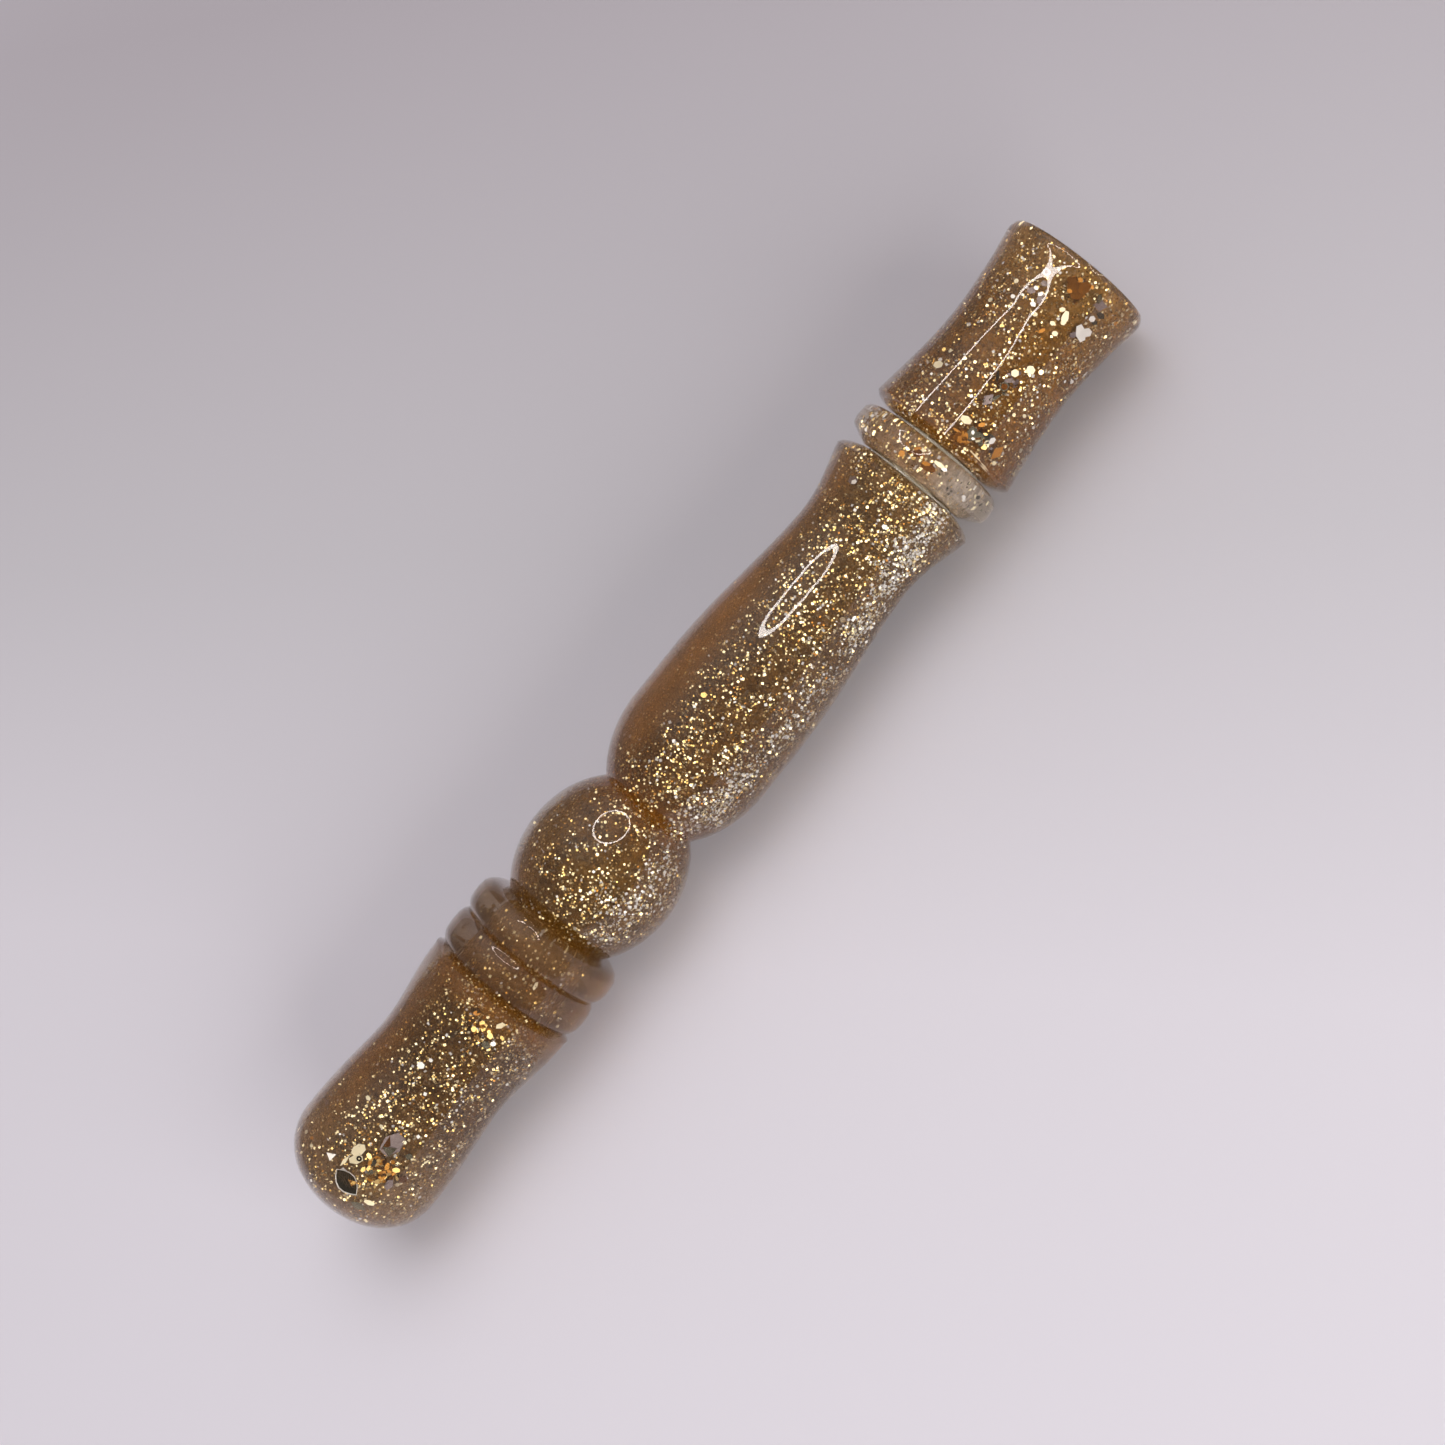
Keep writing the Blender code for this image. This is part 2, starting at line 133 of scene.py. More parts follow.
CAMERA_ELEVATION = math.radians(52)
CAMERA_DISTANCE = 0.41434
CAMERA_DROP = 0.000672
AIM = Vector((0.00399, 0, 0.01277))
LENS = 68.36
SIDE = Vector((0, math.cos(CAMERA_ELEVATION), -math.sin(CAMERA_ELEVATION)))
DOWN = Vector((0, -math.sin(CAMERA_ELEVATION), -math.cos(CAMERA_ELEVATION)))
ALONG = Vector((1, 0, 0))
ALONG_VIEW = -0.0645  # how far the way the camera looks leans along the call
ALONG_DOWN = 0.01858  # how far the low side of its view does
VIEW = (ALONG * ALONG_VIEW + SIDE * math.sqrt(1 - ALONG_VIEW**2)).normalized()
LOW = ALONG * ALONG_DOWN + DOWN * math.sqrt(1 - ALONG_DOWN**2)
LOW = (LOW - VIEW * LOW.dot(VIEW)).normalized()
LENGTHWISE = LOW.cross(VIEW)
ROLL = (0.61107, 0.79158)  # the camera's roll, as a cosine and a sine
RIGHT = LENGTHWISE * ROLL[0] + LOW * ROLL[1]
UP = LENGTHWISE * ROLL[1] - LOW * ROLL[0]
CAMERA_PLACE = AIM + LOW * CAMERA_DROP - VIEW * CAMERA_DISTANCE
# Across the call's axis: towards the camera, and towards the low side of its view
FRONT = Vector((0, -VIEW.y, -VIEW.z)).normalized()
BELOW = Vector((0, LOW.y, LOW.z)).normalized()


def make_camera():
    """The camera looks down on the lying call, rolled so that the bell points up and right."""
    data = bpy.data.cameras.new("camera")
    data.lens = LENS
    data.sensor_width = 36
    data.clip_start = 0.01
    data.clip_end = 20
    camera = bpy.data.objects.new("camera", data)
    turned = Matrix((RIGHT, UP, -VIEW)).transposed().to_4x4()
    camera.matrix_world = Matrix.Translation(CAMERA_PLACE) @ turned
    bpy.context.scene.collection.objects.link(camera)
    bpy.context.scene.camera = camera


# ---------------- turned shapes

FACET = math.radians(9)  # one flat of the frame's solids
SHARP = math.radians(27)  # a turn of an outline past this is a corner


def half_section(node):
    """The outline of a turned node's half section: x and radius in order round it."""
    solid = bmesh.new()
    solid.from_mesh(NODES[node].data)
    bmesh.ops.remove_doubles(solid, verts=solid.verts, dist=1e-6)
    turn = FACET / 2
    cut = bmesh.ops.bisect_plane(
        solid,
        geom=solid.verts[:] + solid.edges[:] + solid.faces[:],
        dist=5e-6,
        plane_co=(0, 0, AXIS_Z),
        plane_no=(0, -math.sin(turn), math.cos(turn)),
    )
    edges = [e for e in cut["geom_cut"] if isinstance(e, bmesh.types.BMEdge)]
    joined = {}
    for edge in edges:
        if sum(v.co.y for v in edge.verts) > 0:
            first, second = edge.verts
            joined.setdefault(first, []).append(second)
            joined.setdefault(second, []).append(first)
    start = min(joined, key=lambda v: (round(v.co.x, 6), -v.co.y))
    walk = [start]
    step = max(joined[start], key=lambda v: v.co.y)
    while step is not start:
        walk.append(step)
        step = [v for v in joined[step] if v is not walk[-2]][0]
    outline = [(v.co.x, math.hypot(v.co.y, v.co.z - AXIS_Z)) for v in walk]
    solid.free()
    return outline


def is_corner(before, here, after):
    """Whether the outline turns sharply at a point."""
    return (Vector(here) - Vector(before)).angle(Vector(after) - Vector(here), 0) > SHARP


def finer(outline, step=0.6 * MM):
    """The closed outline with smooth curves drawn through its points, corners kept."""
    count = len(outline)
    around = zip(outline[-1:] + outline[:-1], outline, outline[1:] + outline[:1])
    corners = [is_corner(*three) for three in around]
    drawn = []
    for i in range(count):
        after = (i + 1) % count
        p1, p2 = Vector(outline[i]), Vector(outline[after])
        p0 = p1 * 2 - p2 if corners[i] else Vector(outline[i - 1])
        p3 = p2 * 2 - p1 if corners[after] else Vector(outline[(i + 2) % count])
        m1, m2 = (p2 - p0) / 2, (p3 - p1) / 2
        straight = corners[i] and corners[after]
        pieces = 1 if straight else max(1, round((p2 - p1).length / step))
        for k in range(pieces):
            t = k / pieces
            spot = (
                p1 * (2 * t**3 - 3 * t**2 + 1)
                + m1 * (t**3 - 2 * t**2 + t)
                + p2 * (-2 * t**3 + 3 * t**2)
                + m2 * (t**3 - t**2)
            )
            drawn.append((spot.x, spot.y, corners[i] and k == 0))
    return drawn


def spin_round(section, centre, axis, steps, near):
    """Spins a bmesh a full turn, and merges what then lies that near together."""
    bmesh.ops.spin(
        section,
        geom=section.verts[:] + section.edges[:],
        cent=centre,
        axis=axis,
        angle=math.tau,
        steps=steps,
        use_merge=True,
    )
    bmesh.ops.remove_doubles(section, verts=section.verts, dist=near)
    bmesh.ops.recalc_face_normals(section, faces=section.faces)


def spun(outline, steps, closed=True):
    """A bmesh of an outline of x and radius spun round the call's axis."""
    turned = bmesh.new()
    verts = [turned.verts.new((x, r, AXIS_Z)) for x, r, *_ in outline]
    for pair in zip(verts, verts[1:] + verts[:1] if closed else verts[1:]):
        turned.edges.new(pair)
    spin_round(turned, (0, 0, AXIS_Z), (1, 0, 0), steps, 1e-7)
    return turned


class Turned:
    """One turned resin part: its outline, where it starts and ends, and its radii along x."""

    COUNT = 600

    def __init__(self, node, body, shape=None):
        self.node = node
        self.body = body
        self.outline = sanded(finer(half_section(node)))
        if shape:
            self.outline = finer([(x, r) for x, r, _ in shape(self.outline)], 0.3 * MM)
        self.start = min(x for x, *_ in self.outline)
        self.end = max(x for x, *_ in self.outline)
        self.length = self.end - self.start
        self.step = self.length / self.COUNT
        spans = list(zip(self.outline, self.outline[1:] + self.outline[:1]))
        self.outer, self.bore = [], []
        for i in range(self.COUNT + 1):
            x = min(max(self.start + self.step * i, self.start + 1e-6), self.end - 1e-6)
            met = [
                r0 + (r1 - r0) * (x - x0) / (x1 - x0)
                for (x0, r0, _), (x1, r1, _) in spans
                if min(x0, x1) <= x <= max(x0, x1) and x0 != x1
            ]
            self.outer.append(max(met))
            self.bore.append(min(met))
        self.shrunk = {}

    def read(self, table, x):
        """The value of one of the part's tables at an x."""
        place = min(max((x - self.start) / self.step, 0), self.COUNT - 1e-9)
        low = int(place)
        return table[low] * (1 - place + low) + table[low + 1] * (place - low)

    def inset(self, depth):
        """The table of outer radii of the same part shrunk all over by that depth."""
        if depth not in self.shrunk:
            reach = int(depth / self.step)
            self.shrunk[depth] = [
                min(
                    self.outer[j] - math.sqrt(max(0, depth**2 - ((j - i) * self.step) ** 2))
                    for j in range(max(0, i - reach), min(self.COUNT, i + reach) + 1)
                )
                for i in range(self.COUNT + 1)
            ]
        return self.shrunk[depth]


# Where hand sanding has left the turned curves flatter or fuller, in millimetres: a place along
# the call, how far it reaches each way, and how much is taken off (or left on, if negative).
SANDED = [(14.5, 14.0, -0.24), (37.0, 12.0, 0.18), (83.5, 4.5, 0.08)]
OUTSIDE_R = 9.5 * MM  # an outline there lies above this, and its bore below


def sanded(outline):
    """The outline with the sanded places taken off its outside or left on it."""
    eased = []
    for x, r, corner in outline:
        for centre, reach, depth in SANDED:
            away = abs(x / MM - centre) / reach
            if away < 1 and r > OUTSIDE_R:
                r -= depth * MM * (1 + math.cos(math.pi * away)) / 2
        eased.append((x, r, corner))
    return eased


# The ring's outside, with the flat cone that its barrel side is cut to: how far from its start,
# and its radius, in millimetres. Then the two radii of its far face.
RING_CUT = [(0, 8.45), (0.05, 9.3), (1.3, 11.75), (1.75, 12.25), (2.4, 12.43)]
RING_CUT += [(3.0, 12.48), (4.3, 12.4), (5.0, 12.12), (5.5, 11.55), (5.8, 10.6)]
RING_FACE = [9.2, 8.43]


def ring_outline(solid):
    """The ring's section: its own bore, and the outside that it is cut to."""
    bore = [(x, r, corner) for x, r, corner in solid if corner]
    start, end = min(x for x, *_ in solid), max(x for x, *_ in solid)
    cut = [(start + x * MM, r) for x, r in RING_CUT] + [(end, r) for r in RING_FACE]
    return [(x, r * MM, False) for x, r in cut] + sorted(bore, key=lambda spot: -spot[0])


BARREL = Turned("barrel", "barrel")
RING = Turned("collar_ring", "insert", ring_outline)
BELL = Turned("end_bell", "insert")
RESIN_PARTS = [BARREL, RING, BELL]

# ---------------- materials

END = 0.0902  # half the call's length

# The resin from the mouth end to the bell: a share of the length, its colour, its haze seen
# straight and at its edge, and the haze along the high side, where the casting has no glitter.
RESIN = [
    (0.0, "#8A7058", 0.12, 0.75, 0.2),
    (0.05, "#7C603E", 0.05, 0.7, 0.25),
    (0.12, "#5E4016", 0.02, 0.6, 0.4),
    (0.2, "#5C3E0E", 0.03, 0.6, 0.35),
    # From 0.222 to 0.303 the rows alternate over the lip and beads: paler, greyer tones on the
    # crests stand for their sheen as painted highlight, and darker ones in the grooves are painted
    # shade
    (0.222, "#744A0C", 0.28, 0.7, 0.1),
    (0.234, "#523204", 0.35, 0.7, 0.0),
    (0.25, "#6C4A20", 0.28, 0.7, 0.0),
    (0.266, "#543204", 0.4, 0.7, 0.0),
    (0.284, "#74542E", 0.28, 0.7, 0.0),
    (0.303, "#563606", 0.4, 0.7, 0.0),
    (0.318, "#664612", 0.15, 0.7, 0.4),
    (0.335, "#6A4A1A", 0.04, 0.6, 0.2),
    (0.37, "#6A4A10", 0.02, 0.6, 0.15),
    (0.41, "#704A0E", 0.06, 0.6, 0.15),
    (0.43, "#76480A", 0.3, 0.7, 0.2),
    (0.455, "#664416", 0.03, 0.65, 0.4),
    (0.6, "#66481E", 0.02, 0.65, 0.45),
    (0.74, "#705228", 0.03, 0.6, 0.4),
    (0.776, "#7C5E38", 0.08, 0.5, 0.1),
    (0.777, "#C0A692", 0.34, 0.5, 0.0),
    (0.79, "#A88A6C", 0.03, 0.4, 0.0),
    (0.808, "#A2845E", 0.03, 0.4, 0.0),
    (0.8155, "#80500A", 0.4, 0.6, 0.0),
    (0.83, "#784E0A", 0.03, 0.45, 0.1),
    (0.93, "#825812", 0.02, 0.45, 0.1),
    (0.97, "#8E682E", 0.08, 0.5, 0.1),
]


def resin_tone(tree, place):
    """The resin's colour along the call, and its place along it from 0 to 1."""
    split = add(tree, "SeparateXYZ", {"Vector": place})
    along = add(tree, "MapRange", {"Value": split, "From Min": -END, "From Max": END})
    tone = set_ramp(add(tree, "ValToRGB", {"Fac": along}), [(row[0], row[1]) for row in RESIN])
    return tone, along


def side_on(tree, place, side):
    """How far a point lies from the call's axis towards a side, in metres."""
    axis, across = (0, 0, AXIS_Z), (0, side.y, side.z)
    centred = add(tree, "VectorMath", {0: place, 1: axis}, operation="SUBTRACT")
    return add(tree, "VectorMath", {0: centred, 1: across}, operation="DOT_PRODUCT")


def let_light_through(tree, body, tint):
    """Ends a clear material's tree: light that falls on it passes on with a faint tint."""
    light = add(tree, "LightPath")
    through = add(tree, "BsdfTransparent", {"Color": colour(tint)})
    both = {0: (light, "Is Shadow Ray"), 1: body, 2: through}
    add(tree, "OutputMaterial", {"Surface": add(tree, "MixShader", both)})


def clear_resin():
    """Cast clear resin, sanded and buffed on the lathe.

    Glassy and faintly amber, with a wet gloss; the buffing leaves a barely uneven shine. The
    coat mirrors as resin does, and the body bends light less, so the glitter shows to the edge."""
    material, tree = new_tree("polished_clear_resin")
    place = (add(tree, "TexCoord"), "Object")
    rings = add(tree, "Mapping", {"Vector": place, "Scale": (1.0, 0.25, 0.25)})
    buff = add(tree, "TexNoise", {"Vector": rings, "Scale": per_metre(0.9)})
    gloss = add(tree, "MapRange", {"Value": buff, "To Min": 0.012, "To Max": 0.035})
    body = add(
        tree,
        "BsdfPrincipled",
        {
            "Base Color": colour("#FFF9EA"),
            "Roughness": gloss,
            "IOR": 1.2,
            "Transmission Weight": 1.0,
            "Coat Weight": 1.0,
            "Coat Roughness": 0.015,
            "Coat IOR": 1.53,
        },
    )
    let_light_through(tree, body, "#FFF7E6")
    return material


def cloudy_resin(name, painted_low_tone, start, stop, most):
    """The haze of fine pearl powder in the casting: milky amber, thicker where seen along it.

    Between the start and the stop below the axis it takes on most of its low tone, a painted tone
    for that side: where it is paler, it is painted light from the paper below; where it is darker,
    it is painted shade. It is thick along the high side at the front, where no glitter reached the
    skin."""
    material, tree = new_tree(name)
    place = (add(tree, "TexCoord"), "Object")
    broad = {"Vector": place, "Scale": per_metre(5.0), "Detail": 4.0, "Roughness": 0.55}
    clouds = add(tree, "TexNoise", broad)
    tone, along = resin_tone(tree, place)
    milky, rim, high_haze = (
        set_ramp(add(tree, "ValToRGB", {"Fac": along}), [(row[0], row[k]) for row in RESIN])
        for k in (2, 3, 4)
    )
    # Painted light and shade: the low side, towards the paper, takes on the painted low tone
    lowness = (side_on(tree, place, LOW), "Value")
    painted_low_reach = {"Value": lowness, "From Min": start, "From Max": stop, "To Max": most}
    painted_low_share = add(tree, "MapRange", painted_low_reach)
    painted_low_side = add(tree, "Mix", {0: painted_low_share, 6: tone, 7: colour(painted_low_tone)}, data_type="RGBA")
    pale = add(
        tree,
        "MapRange",
        {"Value": clouds, "From Min": 0.3, "From Max": 0.7, "To Min": 0.85, "To Max": 1.15},
    )
    facing = add(tree, "LayerWeight", {"Blend": 0.5})
    edge = add(tree, "Math", {0: (facing, "Facing"), 1: 2.2}, operation="POWER")
    thick = add(tree, "MapRange", {"Value": edge, "To Min": milky, "To Max": rim})
    high = add(
        tree,
        "MapRange",
        {"Value": lowness, "From Min": -3.5 * MM, "From Max": -9.5 * MM, "To Max": high_haze},
        interpolation_type="SMOOTHSTEP",
    )
    nearness = (side_on(tree, place, -VIEW), "Value")
    front = add(
        tree,
        "MapRange",
        {"Value": nearness, "From Min": -4.5 * MM, "From Max": -0.5 * MM},
        interpolation_type="SMOOTHSTEP",
    )
    upper = add(tree, "Math", {0: high, 1: front}, operation="MULTIPLY")
    sides = {0: upper, 6: (painted_low_side, "Result"), 7: colour("#9C6628")}
    lit = add(tree, "Mix", sides, data_type="RGBA")
    base = add(tree, "VectorMath", {0: (lit, "Result"), 3: pale}, operation="SCALE")
    thicker = add(tree, "Math", {0: thick, 1: upper}, operation="MAXIMUM")
    patchy = add(tree, "Math", {0: thicker, 1: pale}, operation="MULTIPLY")
    body = add(
        tree,
        "BsdfPrincipled",
        {"Base Color": base, "Roughness": 0.6, "Specular IOR Level": 0.2, "Alpha": patchy},
    )
    add(tree, "OutputMaterial", {"Surface": body})
    return material


def glitter_heart(name, painted_low_tone=None):
    """Pearl powder and fine foil glitter in amber resin round the bore.

    Mottled brown, with 0.4 mm grains that each lie at their own angle: a few of them flash.
    With a low tone, its low side is painted that colour, as painted light from the paper below."""
    material, tree = new_tree(name)
    place = (add(tree, "TexCoord"), "Object")
    tone = resin_tone(tree, place)[0]
    # Painted light: the low side, towards the paper, takes on the low tone
    if painted_low_tone:
        lowness = side_on(tree, place, LOW)
        low = add(tree, "MapRange", {"Value": (lowness, "Value"), "From Max": 0.005})
        painted_low_mix = {0: low, 6: tone, 7: colour(painted_low_tone)}
        tone = (add(tree, "Mix", painted_low_mix, data_type="RGBA"), "Result")
    broad = {"Vector": place, "Scale": per_metre(2.6), "Detail": 3.0, "Roughness": 0.6}
    clouds = add(tree, "TexNoise", broad)
    mottled = add(
        tree,
        "MapRange",
        {"Value": clouds, "From Min": 0.3, "From Max": 0.7, "To Min": 0.55, "To Max": 1.25},
    )
    grains = add(tree, "TexVoronoi", {"Vector": place, "Scale": per_metre(0.4)})
    pick = add(tree, "SeparateColor", {"Color": (grains, "Color")})
    grainy = add(tree, "MapRange", {"Value": (pick, "Green"), "To Min": 0.62, "To Max": 1.3})
    depth = add(tree, "Math", {0: mottled, 1: grainy}, operation="MULTIPLY")
    resin = add(tree, "VectorMath", {0: tone, 3: depth}, operation="SCALE")
    flashing = add(tree, "Math", {0: (pick, "Red"), 1: 0.8}, operation="GREATER_THAN")
    near = add(tree, "Math", {0: grains, 1: 0.42}, operation="LESS_THAN")
    shown = add(tree, "Math", {0: flashing, 1: near}, operation="MULTIPLY")
    stops = [(0.0, "#C89C54"), (0.5, "#F0D496"), (1.0, "#FFF4D2")]
    grain = set_ramp(add(tree, "ValToRGB", {"Fac": (pick, "Blue")}), stops)
    base = add(tree, "Mix", {0: shown, 6: resin, 7: grain}, data_type="RGBA")
    middle = (0.5, 0.5, 0.5)
    lean = add(tree, "VectorMath", {0: (grains, "Color"), 1: middle}, operation="SUBTRACT")
    more = add(tree, "VectorMath", {0: lean, 3: 1.3}, operation="SCALE")
    turned = {0: (add(tree, "NewGeometry"), "Normal"), 1: more}
    tilted = add(tree, "VectorMath", turned, operation="ADD")
    normal = add(tree, "VectorMath", {0: tilted}, operation="NORMALIZE")
    body = add(
        tree,
        "BsdfPrincipled",
        {
            "Base Color": (base, "Result"),
            "Metallic": shown,
            "Roughness": 0.32,
            "Specular IOR Level": 0.2,
            "Normal": normal,
        },
    )
    add(tree, "OutputMaterial", {"Surface": body})
    return material


def foil(name, code, roughness, metallic, wear=0.2):
    """Metallised polyester film cut into flakes: a bright mirror with a slight crinkle."""
    material, tree = new_tree(name)
    place = (add(tree, "TexCoord"), "Object")
    crinkle = add(tree, "TexNoise", {"Vector": place, "Scale": per_metre(0.8), "Detail": 1.0})
    bright = colour(code)
    worn = tuple(c * (1 - wear) for c in bright[:3]) + (1,)
    shade = add(tree, "Mix", {0: crinkle, 6: worn, 7: bright}, data_type="RGBA")
    spread = {"Value": crinkle, "To Min": roughness * 0.7, "To Max": roughness * 1.3}
    rough = add(tree, "MapRange", spread)
    body = add(
        tree,
        "BsdfPrincipled",
        {"Base Color": (shade, "Result"), "Metallic": metallic, "Roughness": rough},
    )
    add(tree, "OutputMaterial", {"Surface": body})
    return material


def clear_moulding():
    """Moulded clear acrylic, the tone tube: glassy, with faint flow haze."""
    material, tree = new_tree("moulded_clear_acrylic")
    place = (add(tree, "TexCoord"), "Object")
    flow = add(tree, "TexNoise", {"Vector": place, "Scale": per_metre(2.5)})
    gloss = add(tree, "MapRange", {"Value": flow, "To Min": 0.05, "To Max": 0.14})
    body = add(
        tree,
        "BsdfPrincipled",
        {
            "Base Color": colour("#F8F5F2"),
            "Roughness": gloss,
            "IOR": 1.49,
            "Transmission Weight": 0.8,
        },
    )
    let_light_through(tree, body, "#E9ECEA")
    return material


def frosted_film():
    """Polyester film, the reeds: milky, see-through at the edges of its clouds."""
    material, tree = new_tree("frosted_polyester_film")
    place = (add(tree, "TexCoord"), "Object")
    grain = add(tree, "TexNoise", {"Vector": place, "Scale": per_metre(0.3)})
    stops = [(0.35, "#D9DDE0"), (0.65, "#EDF0F2")]
    tone = set_ramp(add(tree, "ValToRGB", {"Fac": grain}), stops)
    bump = add(tree, "Bump", {"Height": grain, "Strength": 0.15, "Distance": 0.03 * MM})
    body = add(
        tree,
        "BsdfPrincipled",
        {"Base Color": tone, "Roughness": 0.42, "IOR": 1.6, "Alpha": 0.82, "Normal": bump},
    )
    add(tree, "OutputMaterial", {"Surface": body})
    return material


def cork():
    """Composition cork, the wedge: tan granules 1 mm across with dark gaps, dry and matt."""
    material, tree = new_tree("composition_cork")
    place = (add(tree, "TexCoord"), "Object")
    cells = {"Vector": place, "Scale": per_metre(0.9)}
    granules = add(tree, "TexVoronoi", cells)
    pick = add(tree, "SeparateColor", {"Color": (granules, "Color")})
    stops = [(0.0, "#8A5A30"), (0.4, "#B98552"), (0.8, "#CFA271")]
    tone = set_ramp(add(tree, "ValToRGB", {"Fac": (pick, "Green")}), stops)
    gaps = add(tree, "TexVoronoi", cells, feature="DISTANCE_TO_EDGE")
    near = add(tree, "MapRange", {"Value": gaps, "From Max": 0.09})
    base = add(tree, "Mix", {0: near, 6: colour("#5B3A1E"), 7: tone}, data_type="RGBA")
    bump = add(tree, "Bump", {"Height": near, "Strength": 0.6, "Distance": 0.08 * MM})
    body = add(
        tree,
        "BsdfPrincipled",
        {"Base Color": (base, "Result"), "Roughness": 0.85, "Normal": bump},
    )
    add(tree, "OutputMaterial", {"Surface": body})
    return material


def nitrile():
    """Nitrile rubber, the O-rings: black, softly satin, with a bloom of talc."""
    material, tree = new_tree("nitrile_rubber")
    place = (add(tree, "TexCoord"), "Object")
    bloom = add(tree, "TexNoise", {"Vector": place, "Scale": per_metre(1.2), "Detail": 3.0})
    stops = [(0.4, "#141415"), (0.75, "#2B2B2D")]
    tone = set_ramp(add(tree, "ValToRGB", {"Fac": bloom}), stops)
    rough = add(tree, "MapRange", {"Value": bloom, "To Min": 0.38, "To Max": 0.6})
    body = add(tree, "BsdfPrincipled", {"Base Color": tone, "Roughness": rough, "IOR": 1.52})
    add(tree, "OutputMaterial", {"Surface": body})
    return material


ROOM_TONE = "#C9C2CB"


def paper():
    """Matt backdrop paper: lavender white at the front, falling to grey at the back.

    Far from the call it passes into the tone of the room, as a backdrop that curves up does."""
    material, tree = new_tree("lavender_paper_sweep")
    place = (add(tree, "TexCoord"), "Object")
    turn = (0, 0, -math.atan2(UP.y, UP.x))
    along = add(tree, "Mapping", {"Vector": place, "Rotation": turn})
    split = add(tree, "SeparateXYZ", {"Vector": along})
    far = add(tree, "MapRange", {"Value": split, "From Min": -0.16, "From Max": 0.16})
    stops = [(0.0, "#EEE9F1"), (0.4, "#E9E4EB"), (0.62, "#D4D0D5"), (1.0, "#BFB8BE")]
    tone = set_ramp(add(tree, "ValToRGB", {"Fac": far}), stops)
    fibres = add(tree, "TexNoise", {"Vector": place, "Scale": per_metre(1.5), "Detail": 3.0})
    bump = add(tree, "Bump", {"Height": fibres, "Strength": 0.05, "Distance": 0.1 * MM})
    body = add(
        tree,
        "BsdfPrincipled",
        {"Base Color": tone, "Roughness": 0.9, "IOR": 1.3, "Normal": bump},
    )
    off = add(tree, "VectorMath", {0: place}, operation="LENGTH")
    beyond = add(
        tree,
        "MapRange",
        {"Value": (off, "Value"), "From Min": 0.2, "From Max": 0.55},
        interpolation_type="SMOOTHERSTEP",
    )
    room = add(tree, "Emission", {"Color": colour(ROOM_TONE)})
    mix = add(tree, "MixShader", {0: beyond, 1: body, 2: room})
    add(tree, "OutputMaterial", {"Surface": mix})
    return material


def lamp_glow():
    """The diffuser of a ring lamp, seen only where the polish reflects it."""
    material, tree = new_tree("ring_lamp_diffuser")
    glow = add(tree, "Emission", {"Color": colour("#FFF8F4"), "Strength": 13.0})
    add(tree, "OutputMaterial", {"Surface": glow})
    return material


# ---------------- the resin parts


def resin_piece(made, name, part, material, smooth=True):
    """Makes a piece of a resin part, and sets it on the part's body."""
    piece = keep(made, name, material, smooth)
    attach(piece, part.body)
    return piece


SKIN_STEPS = 160
HAZE_STEPS = 96
HAZE_DEPTHS = (0.5 * MM, 1.7 * MM)
HAZE_STEP = 0.8 * MM

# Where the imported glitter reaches, as x and radius in millimetres.
HEART = [(-90.2, 6.0), (-86, 8.4), (-80, 9.8), (-64, 9.1), (-50, 8.5), (-47, 7.2), (-36, 6.6)]
HEART += [(-31, 8.9), (-25, 10.1), (-18, 8.8), (-13, 6.6), (-8, 8.6), (-3, 9.4), (10, 9.6)]
HEART += [(30, 9.1), (49.6, 9.2), (50, 8.6), (55.9, 8.6), (56.2, 9.2), (73, 9.3), (90.2, 9.8)]
HEART_GAP = 0.9 * MM  # between the heart and each end of its part
HEART_STEP = 0.9 * MM
HEART_DEPTH = 1.0 * MM  # the least that it lies under the skin
WALL = 0.15 * MM  # the least thickness of the heart, and of the resin between it and the bore


def make_skin(part, material):
    """The part's polished outside and its bore, as finely turned as the real one."""
    turned = spun(part.outline, SKIN_STEPS)
    skin = resin_piece(turned, part.node + "_clear_resin", part, material)
    hard = {(round(x, 6), round(r, 6)) for x, r, corner in part.outline if corner}
    mesh = skin.data
    flags = mesh.attributes.new("sharp_edge", "BOOLEAN", "EDGE")
    for edge in mesh.edges:
        first, second = (mesh.vertices[i].co for i in edge.vertices)
        if abs(first.x - second.x) < 1e-7:
            radius = math.hypot(first.y, first.z - AXIS_Z)
            flags.data[edge.index].value = (round(first.x, 6), round(radius, 6)) in hard
    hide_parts(part.node)


def make_haze(part, number, depth, material):
    """One thin layer of haze under the skin."""
    places = []
    run = part.length - 2 * depth
    steps = max(8, round(run / HAZE_STEP))
    for i in range(steps + 1):
        x = part.start + depth + run * i / steps
        least = part.read(part.bore, x) + 2 * WALL
        places.append((x, max(part.read(part.inset(depth), x), least)))
    turned = spun(places, HAZE_STEPS, closed=False)
    resin_piece(turned, f"{part.node}_haze_{number}", part, material)


def make_heart(part, material):
    """The opaque packed glitter round the bore, closed down to the bore at both ends."""
    steps = max(8, round(part.length / HEART_STEP))
    outside = []
    inside = []
    for i in range(steps + 1):
        x = part.start + HEART_GAP + (part.length - 2 * HEART_GAP) * i / steps
        bore = part.read(part.bore, x) + WALL
        top = min(track(HEART, x) * MM, part.read(part.inset(HEART_DEPTH), x))
        outside.append((x, max(top, bore + WALL)))
        inside.append((x, bore))
    turned = spun(outside + inside[::-1], HAZE_STEPS)
    resin_piece(turned, f"{part.node}_glitter_heart", part, material)


# ---------------- loose flakes


# The foils, in the order of their materials.
BRONZE, GOLD, CHAMPAGNE, SILVER, SMOKE, AMBER, HONEY, PEARL, LILAC = range(9)
# The least and the most half diagonal of a fine flake of each of the first four, in millimetres.
FLAKE_SIZES = [(0.12, 0.22), (0.12, 0.24), (0.12, 0.29), (0.15, 0.34)]
MARQUISE = 16  # a flake with this many corners is drawn in to a point at both ends


